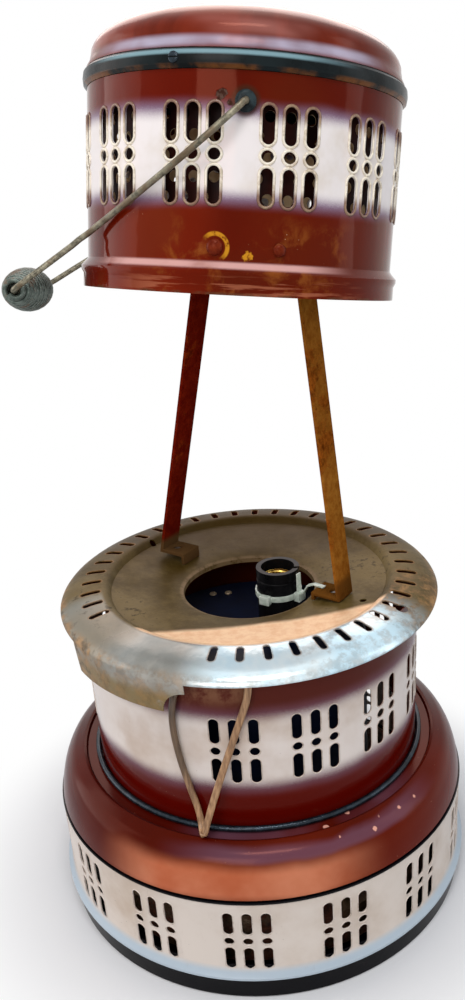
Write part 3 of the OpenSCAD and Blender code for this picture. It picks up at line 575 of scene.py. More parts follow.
BOSS_R = 3.4
BOSS_DEEP = 2.6
BOSS_SLOT = (8, 0.9, 1.4)
BOSS_ANGLE = -24.2
BOSS_OUT = 2.2
BOSS_Z = 137


def make_bead_boss():
    """The slotted boss where the bead ring is drawn tight."""
    place = HEAD @ turned(BOSS_ANGLE) @ Matrix.Translation(mm(0, -HEAD_R - BOSS_OUT, BOSS_Z))
    bpy.ops.mesh.primitive_cylinder_add(vertices=24, radius=BOSS_R * MM, depth=BOSS_DEEP * MM)
    boss = bpy.context.object
    bevelled(boss, 0.8, 3)
    cut_block(boss, (0, 0, BOSS_DEEP / 2 * MM), BOSS_SLOT)
    boss.data.transform(place @ turned(90, "X"))
    made_even(boss)
    return settled(boss, "bead_ring_boss", "head", "dark_steel")


head_lips = slot_lips("head_slot_lips", "head", "enamel_cream", HEAD, r=HEAD_R + 0.15, z=83.6, pitch=14.2,
                      first=-143.8, step=31.47, groups=10, lip=0.75, thick=1.0, segments=20, sides=5,
                      flat=0.75)
drum_lips = slot_lips("drum_slot_lips", "stand", "enamel_brown", STAND, r=DRUM_R - 0.15,
                      z=SHOULDER_TOP + 74.2, pitch=15, first=-133.4, step=25.14, groups=14,
                      left_out=(3, 4, 12, 13))
band_lips = slot_lips("band_slot_lips", "stand", "enamel_cream", STAND, r=BAND_R - 0.15, z=59.6, pitch=15,
                      first=-154.7, step=24.76, groups=14)
grip = make_grip()
shell = make_shell()
holder = make_holder()
screw_heads = make_deck_screws()
boss = make_bead_boss()
skins = {}
for node, name, slot, body, settings in (
    ("base_pan", "pan_skin", "enamel_black", "stand", {}),
    ("base_band", "band_skin", "enamel_cream", "stand", {}),
    ("seam_ring", "seam_ring_skin", "enamel_black", "stand", {}),
    ("base_shoulder", "shoulder_skin", "enamel_brown", "stand", {}),
    ("foot_ring", "foot_ring_skin", "dark_steel", "stand", {}),
    ("mid_drum", "drum_skin", "enamel_brown", "stand", {}),
    ("inner_drum", "inner_drum_skin", "enamel_navy", "stand", {}),
    ("collar", "collar_skin", "galvanised", "stand", {}),
    ("head_drum", "head_skin", "enamel_brown", "head", {}),
    ("bead_ring", "bead_ring_skin", "dark_steel", "head", {}),
    ("head_cap", "cap_skin", "enamel_brown", "head", {}),
    ("head_liner", "liner_skin", "liner_tin", "head", {}),
    ("front_rivets", "rivet_heads", "rivet_rust", "head", {}),
    ("bail_eyelets", "eyelet_rings", "dark_steel", "head", {}),
    ("bail", "bail_wire", "bail_steel", "bail", {"angle": 60}),
    ("strap_left", "left_strap", "maroon_strap", "stand", {"bevel": 0.7}),
    ("strap_right", "right_strap", "rusty_steel", "stand", {"bevel": 0.7}),
    ("strap_foot_screws", "foot_screws", "bare_steel", "stand", {"bevel": 0.3}),
    ("pivot_bolts", "pivot_bolt_set", "bare_steel", "stand", {"bevel": 0.4}),
    ("cable_tie_body", "tie_round_holder", "nylon", "stand", {"bevel": 0.4}),
    ("cable_tie_link", "tie_to_strap", "nylon", "stand", {"bevel": 0.35}),
    ("head_bracket", "cross_bracket", "bare_steel", "head", {"bevel": 0.3}),
):
    skins[node] = skinned(node, name, slot, body, **settings)


# ---------- Finishes ----------

# Heights and radii in this section are in metres, unless they are written with MM.

def colour(code):
    """A colour written as six hex digits, in linear light."""
    parts = [int(code[i:i + 2], 16) / 255 for i in (0, 2, 4)]
    linear = [part / 12.92 if part <= 0.04045 else ((part + 0.055) / 1.055) ** 2.4 for part in parts]
    return (*linear, 1.0)


class Value:
    """A socket of a shader, on which arithmetic adds Math nodes."""

    def __init__(self, shader, socket):
        self.shader = shader
        self.socket = socket

    def math(self, operation, *terms):
        return self.shader.node("ShaderNodeMath", {"operation": operation}, list(terms))

    def __add__(self, other):
        return self.math("ADD", self, other)

    def __sub__(self, other):
        return self.math("SUBTRACT", self, other)

    def __rsub__(self, other):
        return self.math("SUBTRACT", other, self)

    def __mul__(self, other):
        return self.math("MULTIPLY", self, other)

    def __truediv__(self, other):
        return self.math("DIVIDE", self, other)

    def __pow__(self, other):
        return self.math("POWER", self, other)

    __radd__ = __add__
    __rmul__ = __mul__

    def most(self, other):
        return self.math("MAXIMUM", self, other)

    def size(self):
        return self.math("ABSOLUTE", self)

    def within(self, middle, half, soft):
        """1 within half of the middle, fading out over soft."""
        return (self - middle).size().rises(half + soft, half)

    def rises(self, low, high):
        """0 below low, 1 above high, and smooth between them; low may be the larger."""
        return self.shader.node("ShaderNodeMapRange", {"interpolation_type": "SMOOTHSTEP"},
                                {"Value": self, "From Min": low, "From Max": high})

    def held(self):
        """Kept between 0 and 1."""
        return self.shader.node("ShaderNodeClamp", {}, [self, 0.0, 1.0])


class Shader:
    """The shader of a material or of the world, whose nodes all come from one method."""

    def __init__(self, owner):
        owner.use_nodes = True
        self.tree = owner.node_tree
        self.tree.nodes.clear()

    def node(self, kind, settings=(), inputs=(), out=0):
        made = self.tree.nodes.new(kind)
        for key, value in dict(settings).items():
            setattr(made, key, value)
        pairs = inputs.items() if isinstance(inputs, dict) else enumerate(inputs)
        for key, value in pairs:
            if isinstance(value, Value):
                self.tree.links.new(value.socket, made.inputs[key])
            else:
                made.inputs[key].default_value = value
        return Value(self, made.outputs[out]) if made.outputs else None

    def mix(self, mask, low, high):
        """From low to high as the mask rises; either may be a colour in hex digits."""
        low, high = (colour(end) if isinstance(end, str) else end for end in (low, high))
        return self.node("ShaderNodeMix", {"data_type": "RGBA"}, {0: mask, 6: low, 7: high}, out=2)

    def rays(self):
        """1 where it is seen by the camera, where it is mirrored, and where it is seen through a piece."""
        return [self.node("ShaderNodeLightPath", out=f"Is {kind} Ray")
                for kind in ("Camera", "Glossy", "Transmission")]


class Finish(Shader):
    """A material whose shader is written as expressions on the object's own coordinates."""

    def __init__(self, name, place=STAND):
        self.material = bpy.data.materials.new(name)
        super().__init__(self.material)
        self.at = self.node("ShaderNodeTexCoord", out="Object")
        if place is not STAND:
            self.at = self.node("ShaderNodeMapping", {"vector_type": "TEXTURE"},
                                {"Vector": self.at, "Location": place.to_translation(),
                                 "Rotation": place.to_euler("XYZ")})
        self.x, self.y, self.z = (self.node("ShaderNodeSeparateXYZ", {}, [self.at], out=i) for i in range(3))

    def stretched(self, x, y, z):
        return self.node("ShaderNodeVectorMath", {"operation": "MULTIPLY"}, [self.at, (x, y, z)])

    def noise(self, scale, detail=4.0, rough=0.55, at=None, twist=0.0):
        return self.node("ShaderNodeTexNoise", {},
                         {"Vector": at or self.at, "Scale": scale, "Detail": detail, "Roughness": rough,
                          "Distortion": twist})

    def cells(self, scale):
        return self.node("ShaderNodeTexVoronoi", {}, {"Vector": self.at, "Scale": scale}, out="Distance")

    def out(self):
        """Distance from the upright axis."""
        return (self.x * self.x + self.y * self.y) ** 0.5

    def turn(self):
        """Degrees from the front towards +X."""
        return self.x.math("ARCTAN2", self.x, 0 - self.y) * (180 / math.pi)

    def away(self, place):
        """Distance from a place."""
        return self.node("ShaderNodeVectorMath", {"operation": "DISTANCE"}, [self.at, tuple(place)],
                         out="Value")

    def blot(self, place, radius, ragged=0.5, grain=220):
        """1 on a ragged spot round a place, with a radius in millimetres."""
        edge = self.away(place) + (self.noise(grain, 3) - 0.5) * (ragged * 2 * radius * MM)
        return edge.rises(radius * MM * 1.1, radius * MM * 0.85)

    def shade(self, base, rough, metal=0.0, height=None, depth=0.0002, **constants):
        """Ends the finish with a surface, bumpy where a height is given."""
        inputs = {"Base Color": base, "Roughness": rough, "Metallic": metal, **constants}
        if height is not None:
            inputs["Normal"] = self.node("ShaderNodeBump", {}, {"Height": height, "Distance": depth})
        surface = self.node("ShaderNodeBsdfPrincipled", {}, inputs)
        self.node("ShaderNodeOutputMaterial", {}, [surface])
        return self.material


GLOSS = {"Specular IOR Level": 0.15, "Specular Tint": (1.0, 0.36, 0.22, 1)}
SATIN = {"Specular IOR Level": 0.15}
DRY = {"Specular IOR Level": 0.1}
MATT = {"Specular IOR Level": 0.0}
HEAD_SPRAY = (0.0585, 0.1085)
DRUM_SPRAY = (0.177, 0.2425)


def brown_base(f):
    """Cloudy red-brown, with rusty streaks that run down."""
    cloudy = f.noise(6, 3)
    base = f.mix(cloudy.rises(0.34, 0.68), "5c0e03", "7a2008")
    streaks = f.noise(20, 5, 0.6, at=f.stretched(1, 1, 0.14)).rises(0.55, 0.82)
    return f.mix(streaks * 0.45, base, "8e3e14")


def sprayed(f, base, low, high, soft, edge, pale, dusty=0.25):
    """A pale sprayed band along the axis between two heights, with a soft speckled edge."""
    drift = f.z + (f.noise(16, 2) - 0.5) * 0.008
    spray = drift.rises(low - soft, low + soft) * drift.rises(high + soft, high - soft)
    speckle = (f.noise(1900, 1) - 0.5) * dusty
    spray = (spray + speckle * (1 - (spray * 2 - 1).size())).held()
    base = f.mix(spray.rises(0.02, 0.55), base, edge)
    return f.mix(spray.rises(0.35, 0.95), base, pale), spray


def fine_wear(f, amount=0.5):
    """Sparse pin-sized chips."""
    return f.cells(190).rises(0.085 * amount + 0.03, 0.05 * amount) * f.noise(26, 2).rises(0.56, 0.66)


def side_wear(f):
    """Cloudy wear on the left and right of the head."""
    return f.turn().size().rises(48, 72) * f.noise(26, 5, 0.62, twist=0.5).rises(0.42, 0.62) * 0.7


def head_enamel():
    """Red-brown with a sprayed pale band, with the chips and splashes of the real lamp, a painted highlight
    along the bead and a painted copper reflection at the hem.
    """
    f = Finish("head_enamel", HEAD)
    turn = f.turn()
    base = brown_base(f)
    base = f.mix(f.noise(9, 4, twist=0.4).rises(0.45, 0.65) * 0.5, base, "6a2c14")
    base = f.mix(turn.within(24, 26, 18) * 0.55, base, "440300")
    patchy = f.noise(48, 5, 0.62, twist=0.5).rises(0.5, 0.72)
    low_wear = f.z.rises(0.056, 0.03) * turn.within(2, 26, 16) * patchy
    base = f.mix(low_wear * 0.7, base, "94521f")
    pale = f.mix(f.noise(24, 4).rises(0.45, 0.8), "efe9e6", "dacfc0")
    base, spray = sprayed(f, base, *HEAD_SPRAY, 0.011, "867086", pale)
    rivet = around(-9.7, HEAD_R, 28.9)
    arc = f.away(rivet).within(8.2 * MM, 0.9 * MM, 0.8 * MM) * (f.x + f.z * 0.9).rises(0.003, 0.012)
    splash = f.blot(around(1.2, HEAD_R, 24), 3.2, 0.9, 260)
    base = f.mix(arc.most(splash) * f.noise(300, 3).rises(0.3, 0.5), base, "c98a20")
    chip = f.blot(around(-9.0, HEAD_R, 117), 3.4, 1.1, 160)
    chip = chip.most(f.blot(around(-6.2, HEAD_R, 112.5), 2.2, 1.0, 200))
    base = f.mix(chip, base, f.mix(f.noise(400, 3).rises(0.4, 0.6), "54423a", "2b1812"))
    ring_dirt = f.away(around(EYELET_ANGLE, HEAD_R, 114)).rises(0.0105, 0.0072)
    base = f.mix(ring_dirt * 0.8, base, "3a2418")
    base = f.mix(side_wear(f) * (1 - spray), base, "5c3a1c")
    worn = fine_wear(f) * f.z.rises(0.07, 0.05)
    base = f.mix(worn, base, "c99f7c")
    # A painted highlight along the top of the bead at the front.
    broken = f.noise(14, 4, twist=0.3).rises(0.2, 0.45)
    edge = f.z.within(0.0182, 0.001, 0.002) * turn.within(-12, 28, 26) * broken
    base = f.mix(edge * 0.8, base, "e6b4ac")
    # A painted copper reflection, in streaks low on the skirt at the front.
    streaky = f.noise(70, 4, 0.6, at=f.stretched(0.25, 0.25, 4)).rises(0.5, 0.6)
    painted_hem_reflection = f.z.rises(0.013, 0.008) * turn.within(0, 28, 20) * streaky
    base = f.mix(painted_hem_reflection * 0.6, base, "b0684a")
    rim = f.z.rises(0.0022, 0.0008) * f.noise(90, 4).rises(0.42, 0.6)
    base = f.mix(rim * 0.8, base, "5a3a26")
    rough = f.noise(30, 3) * 0.06 + low_wear * 0.12 + chip * 0.4 + 0.05
    height = f.noise(38, 2) * 0.8 + low_wear * f.noise(300, 4) * 0.4 - chip * 0.6
    return f.shade(base, rough, height=height, depth=0.0003, **GLOSS)


def cap_enamel():
    """Red-brown with dark streaks, a painted highlight on the crown, a painted pink highlight low on the dome
    and a painted lavender reflection along the hem at the front.
    """
    f = Finish("cap_enamel", HEAD)
    base = brown_base(f)
    base = f.mix(0.22, base, "964a34")
    dark_streaks = f.noise(12, 5, 0.6, at=f.stretched(1, 1, 0.3), twist=0.6).rises(0.48, 0.6)
    base = f.mix(dark_streaks * 0.55, base, "481208")
    base = f.mix(side_wear(f), base, "6e4c30")
    # A painted highlight on the crown of the cap.
    painted_crown_highlight = f.z.rises(0.16, 0.174)
    base = f.mix(painted_crown_highlight * f.noise(10, 4, twist=0.4).rises(0.3, 0.56) * 0.75, base, "dc9c88")
    # A painted lavender reflection along the hem at the front.
    painted_hem_reflection = f.z.within(0.1468, 0.0008, 0.0044) * f.turn().within(-4, 30, 36) * f.noise(16, 3).rises(0.2, 0.6)
    base = f.mix(painted_hem_reflection * 0.95, base, "bcb8cc")
    # A painted pink highlight low on the dome.
    painted_pink_highlight = f.z.within(0.156, 0.002, 0.006) * f.noise(9, 3, twist=0.5).rises(0.42, 0.6)
    base = f.mix(painted_pink_highlight * 0.45, base, "c4847a")
    base = f.mix(fine_wear(f), base, "d0a88c")
    return f.shade(base, f.noise(34, 3) * 0.1 + 0.12, height=f.noise(30, 2), depth=0.0004, **GLOSS)


def drum_enamel():
    """Red-brown with a sprayed pale band, darker at its foot and its top, and plain inside."""
    f = Finish("drum_enamel")
    base = brown_base(f)
    base = f.mix(f.z.rises(0.2, 0.16), base, "560702")
    base = f.mix(f.z.rises(0.235, 0.252), base, "54231d")
    worn_top = f.z.rises(0.245, 0.262) * f.turn().within(-24, 16, 14) * f.noise(40, 5, 0.65).rises(0.42, 0.62)
    base = f.mix(worn_top * 0.7, base, "8a6248")
    pale = f.mix(f.noise(18, 4).rises(0.42, 0.8), "e2d9d1", "c6b4a4")
    base, spray = sprayed(f, base, *DRUM_SPRAY, 0.016, "6d4a55", pale, 0.3)
    scratch = f.noise(60, 6, 0.7, at=f.stretched(1, 1, 0.2)).rises(0.64, 0.76) * spray
    base = f.mix(scratch * 0.4, base, "8c6f58")
    base = f.mix(fine_wear(f), base, "8a6650")
    inside = f.out().rises(0.14275, 0.1424)
    base = f.mix(inside, base, "4e1606")
    rough = f.noise(30, 3) * 0.07 + worn_top * 0.15 + inside * 0.5 + 0.07
    return f.shade(base, rough, height=f.noise(30, 2), depth=0.0003, **GLOSS)


def shoulder_enamel():
    """Dark red-brown with a painted copper reflection, a painted violet reflection and pale chips at the
    front.
    """
    f = Finish("shoulder_enamel")
    base = f.mix(f.noise(5, 3).rises(0.35, 0.7), "460902", "621807")
    level = f.z + (f.noise(9, 3, twist=0.4) - 0.5) * 0.012
    # A painted peach-copper reflection low on the front of the shoulder.
    painted_copper_reflection = level.within(0.113, 0.007, 0.012) * f.turn().within(-8, 18, 24)
    base = f.mix(painted_copper_reflection * 0.95, base, f.mix(f.noise(14, 4).rises(0.35, 0.7), "b8603e", "d08260"))
    # A painted violet reflection higher on the front of the shoulder.
    painted_violet_reflection = level.within(0.1325, 0.0015, 0.004) * f.turn().within(14, 22, 24)
    base = f.mix(painted_violet_reflection * 0.45, base, "7a5c70")
    marks = f.blot(around(17.8, 153.8, 136), 2.3, 0.5, 400)
    for angle, r, z in ((26.4, 147, 136), (33, 164, 134), (40, 167, 133), (46.7, 167.5, 132),
                        (27, 158, 135), (20, 166, 133), (30, 170, 131)):
        marks = marks.most(f.blot(around(angle, r, z), 2.3, 0.5, 400))
    base = f.mix(marks, base, "e8a892")
    base = f.mix(fine_wear(f, 0.4), base, "c78a6c")
    return f.shade(base, f.noise(30, 3) * 0.06 + 0.15, height=f.noise(24, 2), depth=0.0003, **GLOSS)


def lip_enamel(name, place, low, high, pale, dark, dirt):
    """The lips of the slots: pale within the sprayed band and dark beyond it, with dirt in patches."""
    f = Finish(name, place)
    inside = f.z.rises(low - 0.004, low + 0.003) * f.z.rises(high + 0.004, high - 0.004)
    base = f.mix(inside, dark, pale)
    grime = f.noise(120, 5, 0.7).rises(0.46, 0.66)
    base = f.mix(grime * 0.65, base, dirt)
    return f.shade(base, f.noise(80, 3) * 0.2 + 0.15, height=f.noise(200, 3), depth=0.0003)


def band_enamel():
    """Stained cream, with a painted blue sky reflection on the rolled lip."""
    f = Finish("band_enamel")
    stain = f.noise(12, 5, 0.6).rises(0.42, 0.8)
    base = f.mix(stain, "dacfc4", "c0ae9c")
    # The rolled lip is bluer: a painted sky reflection.
    lip = f.z.rises(0.033, 0.027)
    base = f.mix(lip, base, "b2c0ca")
    grime = f.noise(50, 6, 0.7, at=f.stretched(1, 1, 0.3)).rises(0.6, 0.78)
    base = f.mix(grime * 0.3, base, "8a6f58")
    worn = fine_wear(f)
    base = f.mix(worn, base, "3a2018")
    return f.shade(base, f.noise(40, 3) * 0.12 + 0.16, height=f.noise(40, 2) - worn * 0.6, depth=0.0003,
                   **SATIN)


def black_enamel():
    """Black with a little dust."""
    f = Finish("black_enamel")
    dust = f.noise(80, 6, 0.7).rises(0.55, 0.8)
    base = f.mix(dust * 0.3, "08070b", "2a2423")
    return f.shade(base, dust * 0.25 + 0.14, height=f.noise(50, 3), depth=0.0003, **DRY)


def dark_ring_steel():
    """Blue-black steel, with a painted copper reflection low on the bead ring and a painted highlight line at
    its front.
    """
    f = Finish("bead_ring_steel", HEAD)
    cloudy = f.noise(22, 5, 0.6)
    base = f.mix(cloudy.rises(0.35, 0.7), "080d0e", "172022")
    # A painted copper reflection low on the bead ring.
    painted_copper_reflection = f.z.rises(0.1345, 0.1325) * f.noise(30, 5, 0.65).rises(0.4, 0.6)
    base = f.mix(painted_copper_reflection * 0.85, base, "7a4a22")
    # A painted highlight line along the top of the bead ring at the front.
    broken = f.noise(12, 3).rises(0.25, 0.5)
    painted_highlight = f.z.within(0.1402, 0.0004, 0.0017) * f.turn().within(-14, 24, 30) * broken
    base = f.mix(painted_highlight * 0.75, base, "90b4bc")
    return f.shade(base, cloudy * 0.15 + 0.2, height=f.noise(60, 3), depth=0.0003, **DRY)


STRAP_FOOT = (0.304, 0.296)


def worn_steel(name, dark, light, rust, place=STAND, amount=0.5, gloss=0.35, metal=0.55, deep="2a1209",
               foot=None, **constants):
    """Dull steel that is rusting. amount is how much of it is rust, and foot the colour of a strap's foot."""
    f = Finish(name, place)
    grain = f.noise(150, 6, 0.65)
    patch = f.noise(24, 6, 0.62, twist=0.4)
    base = f.mix(grain.rises(0.3, 0.75), dark, light)
    rusty = (patch + (grain - 0.5) * 0.5).rises(0.78 - amount * 0.5, 0.92 - amount * 0.5)
    scale = f.mix(f.noise(210, 5, 0.7).rises(0.35, 0.7), rust, deep)
    base = f.mix(rusty, base, scale)
    if foot:
        base = f.mix(f.z.rises(*STRAP_FOOT), base, foot)
    rough = rusty * (0.85 - gloss) + gloss + (grain - 0.5) * 0.2
    height = grain + rusty * f.noise(420, 4) * 1.5
    return f.shade(base, rough, metal=(1 - rusty) * metal, height=height, depth=0.0004, **constants)


COLLAR_PLACES = 42
COLLAR_FIRST = -12.9
COLLAR_MIDDLE = 134.0
COLLAR_HALF = 5.7


def worn_zinc():
    """Old zinc plate: a painted sky reflection on the front slope, a painted pool of peach light on the front
    of the plate, painted shade on its back, tan and olive elsewhere.
    """
    f = Finish("worn_zinc")
    out = f.out()
    turn = f.turn()
    cloud = f.noise(10, 6, 0.6, twist=0.6)
    fine = f.noise(130, 6, 0.7)
    mottle = cloud + (fine - 0.5) * 0.35
    base = f.mix(mottle.rises(0.34, 0.66), "48370f", "6e5b33")
    # Darker towards the back: painted shade of the head over the plate.
    base = f.mix(f.y.rises(0.0, 0.11) * 0.75, base, "3c2906")
    plate = out.rises(0.1255, 0.1235)
    slope = out.rises(0.1225, 0.1265)
    # A painted pool of peach light on the front of the plate.
    crescent = f.y + (cloud - 0.5) * 0.012 - f.x * 0.12
    painted_peach_light = crescent.rises(-0.071, -0.079) * plate
    base = f.mix(painted_peach_light, base, f.mix(fine.rises(0.35, 0.65), "ffd8ae", "f4c498"))
    front = turn.within(6, 34, 26)
    left = turn.within(-46, 22, 16)
    # A painted sky reflection on the front and left of the slope, olive-grey on the left.
    painted_highlight = slope * (front + left * 0.45).held()
    painted_sheen = f.mix(f.noise(14, 4, twist=0.5).rises(0.38, 0.64), "d2f0fc", "f4ffff")
    painted_sheen = f.mix(left * 0.8, painted_sheen, f.mix(cloud.rises(0.35, 0.6), "64553e", "948878"))
    base = f.mix(painted_highlight, base, painted_sheen)
    low = f.z.rises(0.276, 0.262) * turn.within(-40, 24, 8)
    base = f.mix(low * f.noise(60, 6, 0.7).rises(0.2, 0.42) * 0.95, base, "84724c")
    step = 360 / COLLAR_PLACES
    places = (turn - COLLAR_FIRST) / step + 0.5
    column = places.math("FLOORED_MODULO", places, 1.0) - 0.5
    side = column * out * math.radians(step)
    beyond = ((out - COLLAR_MIDDLE * MM).size() - COLLAR_HALF * MM).most(0.0)
    edge = (side * side + beyond * beyond) ** 0.5
    punched = 1 - turn.within(-38.6, 20.5, 1.5)
    fringe = edge.rises(4.4 * MM, 3.0 * MM) * fine.rises(0.3, 0.5) * punched
    base = f.mix(fringe * 0.6, base, "94683c")
    rim = out.rises(0.152, 0.1585) * f.noise(70, 5, 0.7).rises(0.38, 0.58)
    right = slope * turn.within(48, 26, 16) * f.noise(90, 6, 0.7).rises(0.44, 0.6)
    rust = f.mix(fine.rises(0.4, 0.6), "a07848", "6a5030")
    base = f.mix(rim.most(right * 0.8) * (1 - painted_highlight * 0.6), base, rust)
    dark = (fine + (cloud - 0.5) * 0.8).rises(0.62, 0.76) * (1 - painted_highlight.most(painted_peach_light) * 0.9)
    base = f.mix(dark * 0.75, base, "352a1d")
    torn = out.rises(0.061, 0.0575) * fine.rises(0.3, 0.55)
    base = f.mix(torn * 0.6, base, "8d7355")
    rough = f.noise(45, 5) * (0.22 - painted_highlight * 0.14) + 0.34 - painted_highlight * 0.24 + dark * 0.15
    metal = painted_highlight * 0.3 + (1 - painted_highlight) * 0.15 - dark * 0.15
    return f.shade(base, rough, metal=metal.held(), height=fine * 0.6 + cloud, depth=0.0004, **DRY)


def liner_metal():
    """The liner is painted dark outside, as painted shade behind the slots, and tin coloured inside, where it
    shows through its own holes.
    """
    f = Finish("liner_metal", HEAD)
    inside = f.out().rises(0.0998, 0.0992)
    painted_outer_shade = f.mix(f.noise(30, 4).rises(0.35, 0.7), "1a0604", "3a120a")
    tin = f.mix(f.noise(40, 5).rises(0.35, 0.75), "c7b08a", "8d7350")
    return f.shade(f.mix(inside, painted_outer_shade, tin), f.noise(60, 4) * 0.2 + 0.4, metal=inside * 0.2, **DRY)


def wire_metal(name, dark, light, rust):
    """Weathered wire: grey, with a rusty brown in patches."""
    f = Finish(name, HEAD)
    grain = f.noise(260, 5, 0.65)
    patch = f.noise(40, 5, 0.6)
    base = f.mix(grain.rises(0.3, 0.75), dark, light)
    base = f.mix((patch + (grain - 0.5) * 0.4).rises(0.5, 0.62) * 0.8, base, rust)
    return f.shade(base, grain * 0.3 + 0.25, metal=0.4, height=grain, depth=0.0003)


def brass_metal():
    """Brass that has gone dull in patches."""
    f = Finish("old_brass")
    dull = f.noise(120, 5, 0.6).rises(0.4, 0.7)
    base = f.mix(dull, "d8b45c", "9a7430")
    return f.shade(base, dull * 0.2 + 0.22, metal=0.9, height=f.noise(300, 3), depth=0.0001)


def nylon_moulding():
    """Cloudy nylon that lets some light through."""
    f = Finish("nylon")
    cloudy = f.noise(200, 3)
    base = f.mix(cloudy.rises(0.3, 0.7), "e6eee2", "c3d2c2")
    return f.shade(base, 0.3, height=cloudy, depth=0.0001, **{"Transmission Weight": 0.25, "IOR": 1.5})


def flex_cover():
    """Brown-gold covering with a fine lengthways grain."""
    f = Finish("flex_cover")
    grain = f.noise(420, 4, 0.6, at=f.stretched(1, 1, 0.08))
    tone = f.noise(30, 3)
    base = f.mix(grain.rises(0.3, 0.7), "7a5636", "b98f66")
    base = f.mix(tone.rises(0.5, 0.75) * 0.6, base, "4f3a26")
    # The upper left strand is darker: painted shadow where it leaves the notch.
    base = f.mix(f.x.rises(-0.04, -0.055) * f.z.rises(0.165, 0.2) * 0.75, base, "33281a")
    return f.shade(base, grain * 0.15 + 0.25, height=grain, depth=0.0001)


def mottled(name, code, rough, metal=0.0, speck=90, **constants):
    """A simple finish with slight mottling."""
    f = Finish(name)
    mottle = f.noise(speck, 5, 0.6)
    darker, lighter = ([min(part * share, 1) for part in colour(code)[:3]] for share in (0.7, 1.25))
    base = f.mix(mottle.rises(0.3, 0.75), (*darker, 1), (*lighter, 1))
    return f.shade(base, mottle * 0.2 + rough - 0.1, metal=metal, height=mottle, depth=0.0002, **constants)


def dress(piece, finish):
    """Gives a piece one finish all over."""
    piece.data.materials.clear()
    piece.data.materials.append(finish)
    for face in piece.data.polygons:
        face.material_index = 0


black = black_enamel()
steel_blue = worn_steel("blue_black_steel", "0d151c", "26343f", "3a2416", amount=0.12, gloss=0.2)
dull = worn_steel("dull_steel", "3c3733", "6b635a", "5a3820", amount=0.4)
brass = brass_metal()
nylon = nylon_moulding()
flex = flex_cover()
rubber = mottled("black_rubber", "191716", 0.6, **DRY)

for node, finish in (
    ("fuel_tank", worn_steel("tank_rust", "42301f", "6e5539", "5f2c13", amount=0.7)),
    ("centre_contact", brass),
    ("catch_plate", dull),
):
    dress(NODES[node], finish)

for node, finish in (
    ("base_pan", black),
    ("base_band", band_enamel()),
    ("seam_ring", black),
    ("base_shoulder", shoulder_enamel()),
    ("foot_ring", steel_blue),
    ("mid_drum", drum_enamel()),
    ("inner_drum", mottled("navy_enamel", "10182f", 0.42, speck=60, **DRY)),
    ("collar", worn_zinc()),
    ("head_drum", head_enamel()),
    ("bead_ring", dark_ring_steel()),
    ("head_cap", cap_enamel()),
    ("head_liner", liner_metal()),
    ("front_rivets", worn_steel("worn_rivet", "571408", "7c2e16", "965a30", HEAD, amount=0.25, gloss=0.12,
                                metal=0.0, deep="5a2412", **GLOSS)),
    ("bail_eyelets", worn_steel("eyelet_steel", "12181a", "323f42", "4a3322", HEAD, amount=0.3, gloss=0.3,
                                metal=0.0, **DRY)),
    ("bail", wire_metal("bail_wire_metal", "454133", "a39c84", "5c4830")),
    ("strap_left", worn_steel("maroon_strap", "5a0d04", "741c09", "862f0c", amount=0.4, gloss=0.4,
                              metal=0.0, deep="3a0a04", foot="5c4226", **MATT)),
    ("strap_right", worn_steel("rusty_strap", "824a14", "a46c28", "924e16", amount=0.6, gloss=0.45,
                               metal=0.0, deep="5a2a08", foot="6a4218", **MATT)),
    ("strap_foot_screws", dull),
    ("pivot_bolts", dull),
    ("cable_tie_body", nylon),
    ("cable_tie_link", nylon),
    ("head_bracket", dull),
):
    dress(skins[node], finish)

for piece, finish in (
    (head_lips, lip_enamel("head_lip_enamel", HEAD, 0.064, 0.104, "f2e8d4", "7d5a48", "a88e6c")),
    (drum_lips, lip_enamel("drum_lip_enamel", STAND, 0.176, 0.243, "cdbfb2", "6a4038", "8f7866")),
    (band_lips, lip_enamel("band_lip_enamel", STAND, 0.0, 0.2, "d6c8bc", "6a4038", "9a8470")),
    (grip, wire_metal("grip_wire_metal", "3c4841", "77827a", "5f4630")),
    (shell, brass),
    (holder, mottled("black_moulding", "0e0e10", 0.3, **DRY)),
    (screw_heads, mottled("pale_screw", "c9b394", 0.35, metal=0.3)),
    (boss, steel_blue),
):
    dress(piece, finish)
for name, finish in (
    ("twin_flex_loop", flex),
    ("twin_flex_inside", flex),
    ("twin_flex_return", flex),
    ("twin_flex_lead", flex),
    ("plug_moulding", rubber),
    ("coil_strap", rubber),
    ("flex_strain_relief", rubber),
    ("plug_pins", brass),
):
    dress(bpy.data.objects[name], finish)


# ---------- Stage ----------

FLOOR_FADES = (0.19, 0.32)
MIRRORED_FLOOR_FADES = (0.4, 0.8)
PAPER = (0.86, 0.86, 0.86, 1)
SKY = (0.36, 0.37, 0.4, 1)
WHITE = (1, 1, 1, 1)


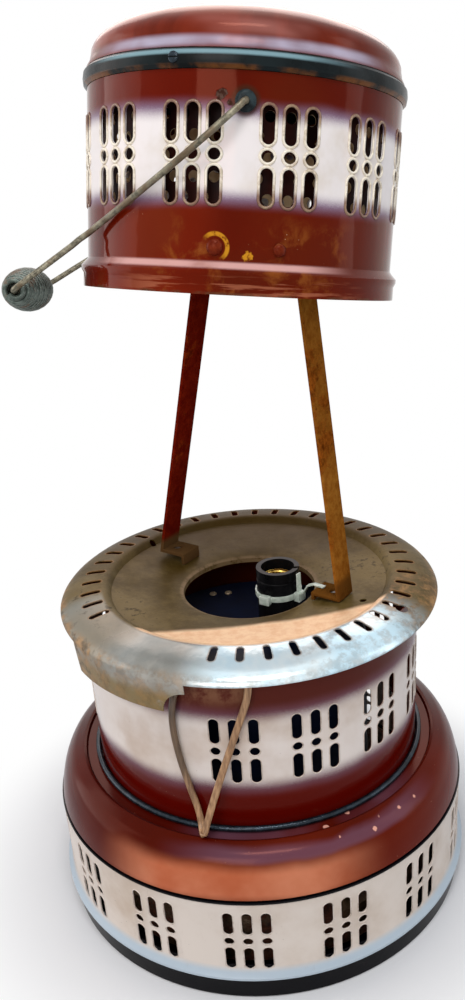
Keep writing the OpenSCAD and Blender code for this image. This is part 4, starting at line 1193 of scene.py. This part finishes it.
def make_floor():
    """A pale floor that fades to white away from the lamp, where it is seen or mirrored."""
    bpy.ops.mesh.primitive_plane_add(size=14, location=(0, 0, -0.0004))
    floor = bpy.context.object
    floor.name = "studio_floor"
    f = Finish("studio_floor")
    camera, glossy, through = f.rays()
    out = f.out()
    shown = (out.rises(*FLOOR_FADES) * camera).most(out.rises(*MIRRORED_FLOOR_FADES) * glossy.most(through))
    paper = f.node("ShaderNodeBsdfDiffuse", {}, {"Color": PAPER})
    white = f.node("ShaderNodeEmission", {}, {"Color": WHITE, "Strength": 1.0})
    both = f.node("ShaderNodeMixShader", {}, {0: shown, 1: paper, 2: white})
    f.node("ShaderNodeOutputMaterial", {}, [both])
    dress(floor, f.material)


def make_world():
    """White where it is seen or mirrored, and a plain soft sky as a light."""
    world = bpy.data.worlds.new("studio")
    bpy.context.scene.world = world
    sky = Shader(world)
    camera, glossy, through = sky.rays()
    shown = camera.most(glossy).most(through)
    back = sky.node("ShaderNodeBackground", {}, {"Color": sky.mix(shown, SKY, WHITE)})
    sky.node("ShaderNodeOutputWorld", {}, [back])


def make_lamps():
    """Soft boxes: name, place, size, power, tint, aim, and whether they are only seen mirrored."""
    for name, at, size, power, tint, aim, mirrored in (
        ("front_box", (-0.7, -1.9, 1.5), (1.0, 0.8), 14, (1.0, 0.96, 0.95), (0, 0, 0.35), False),
        ("left_window", (-1.8, 0.3, 0.9), (1.3, 1.5), 11, (1.0, 0.93, 0.9), (0, 0, 0.4), False),
        ("right_strip", (1.7, -0.3, 1.0), (0.5, 1.4), 4, (0.93, 0.96, 1.0), (0, 0, 0.4), False),
        ("top_box", (0.05, -0.9, 2.2), (0.8, 0.4), 15, (0.97, 0.98, 1.0), (0, 0, 0.35), False),
        ("crown_glow", (0, 2.2, 1.9), (2.4, 1.4), 20, (1.0, 0.8, 0.74), (0, 0, 0.7), True),
    ):
        data = bpy.data.lights.new(name, "AREA")
        data.shape = "RECTANGLE"
        data.size, data.size_y = size
        data.energy = power
        data.color = tint
        lamp = linked(bpy.data.objects.new(name, data))
        lamp.location = at
        lamp.rotation_euler = (Vector(aim) - Vector(at)).to_track_quat("-Z", "Y").to_euler()
        lamp.visible_camera = False
        lamp.visible_diffuse = not mirrored


make_floor()
make_world()
make_lamps()
bpy.context.scene.view_settings.view_transform = "Standard"
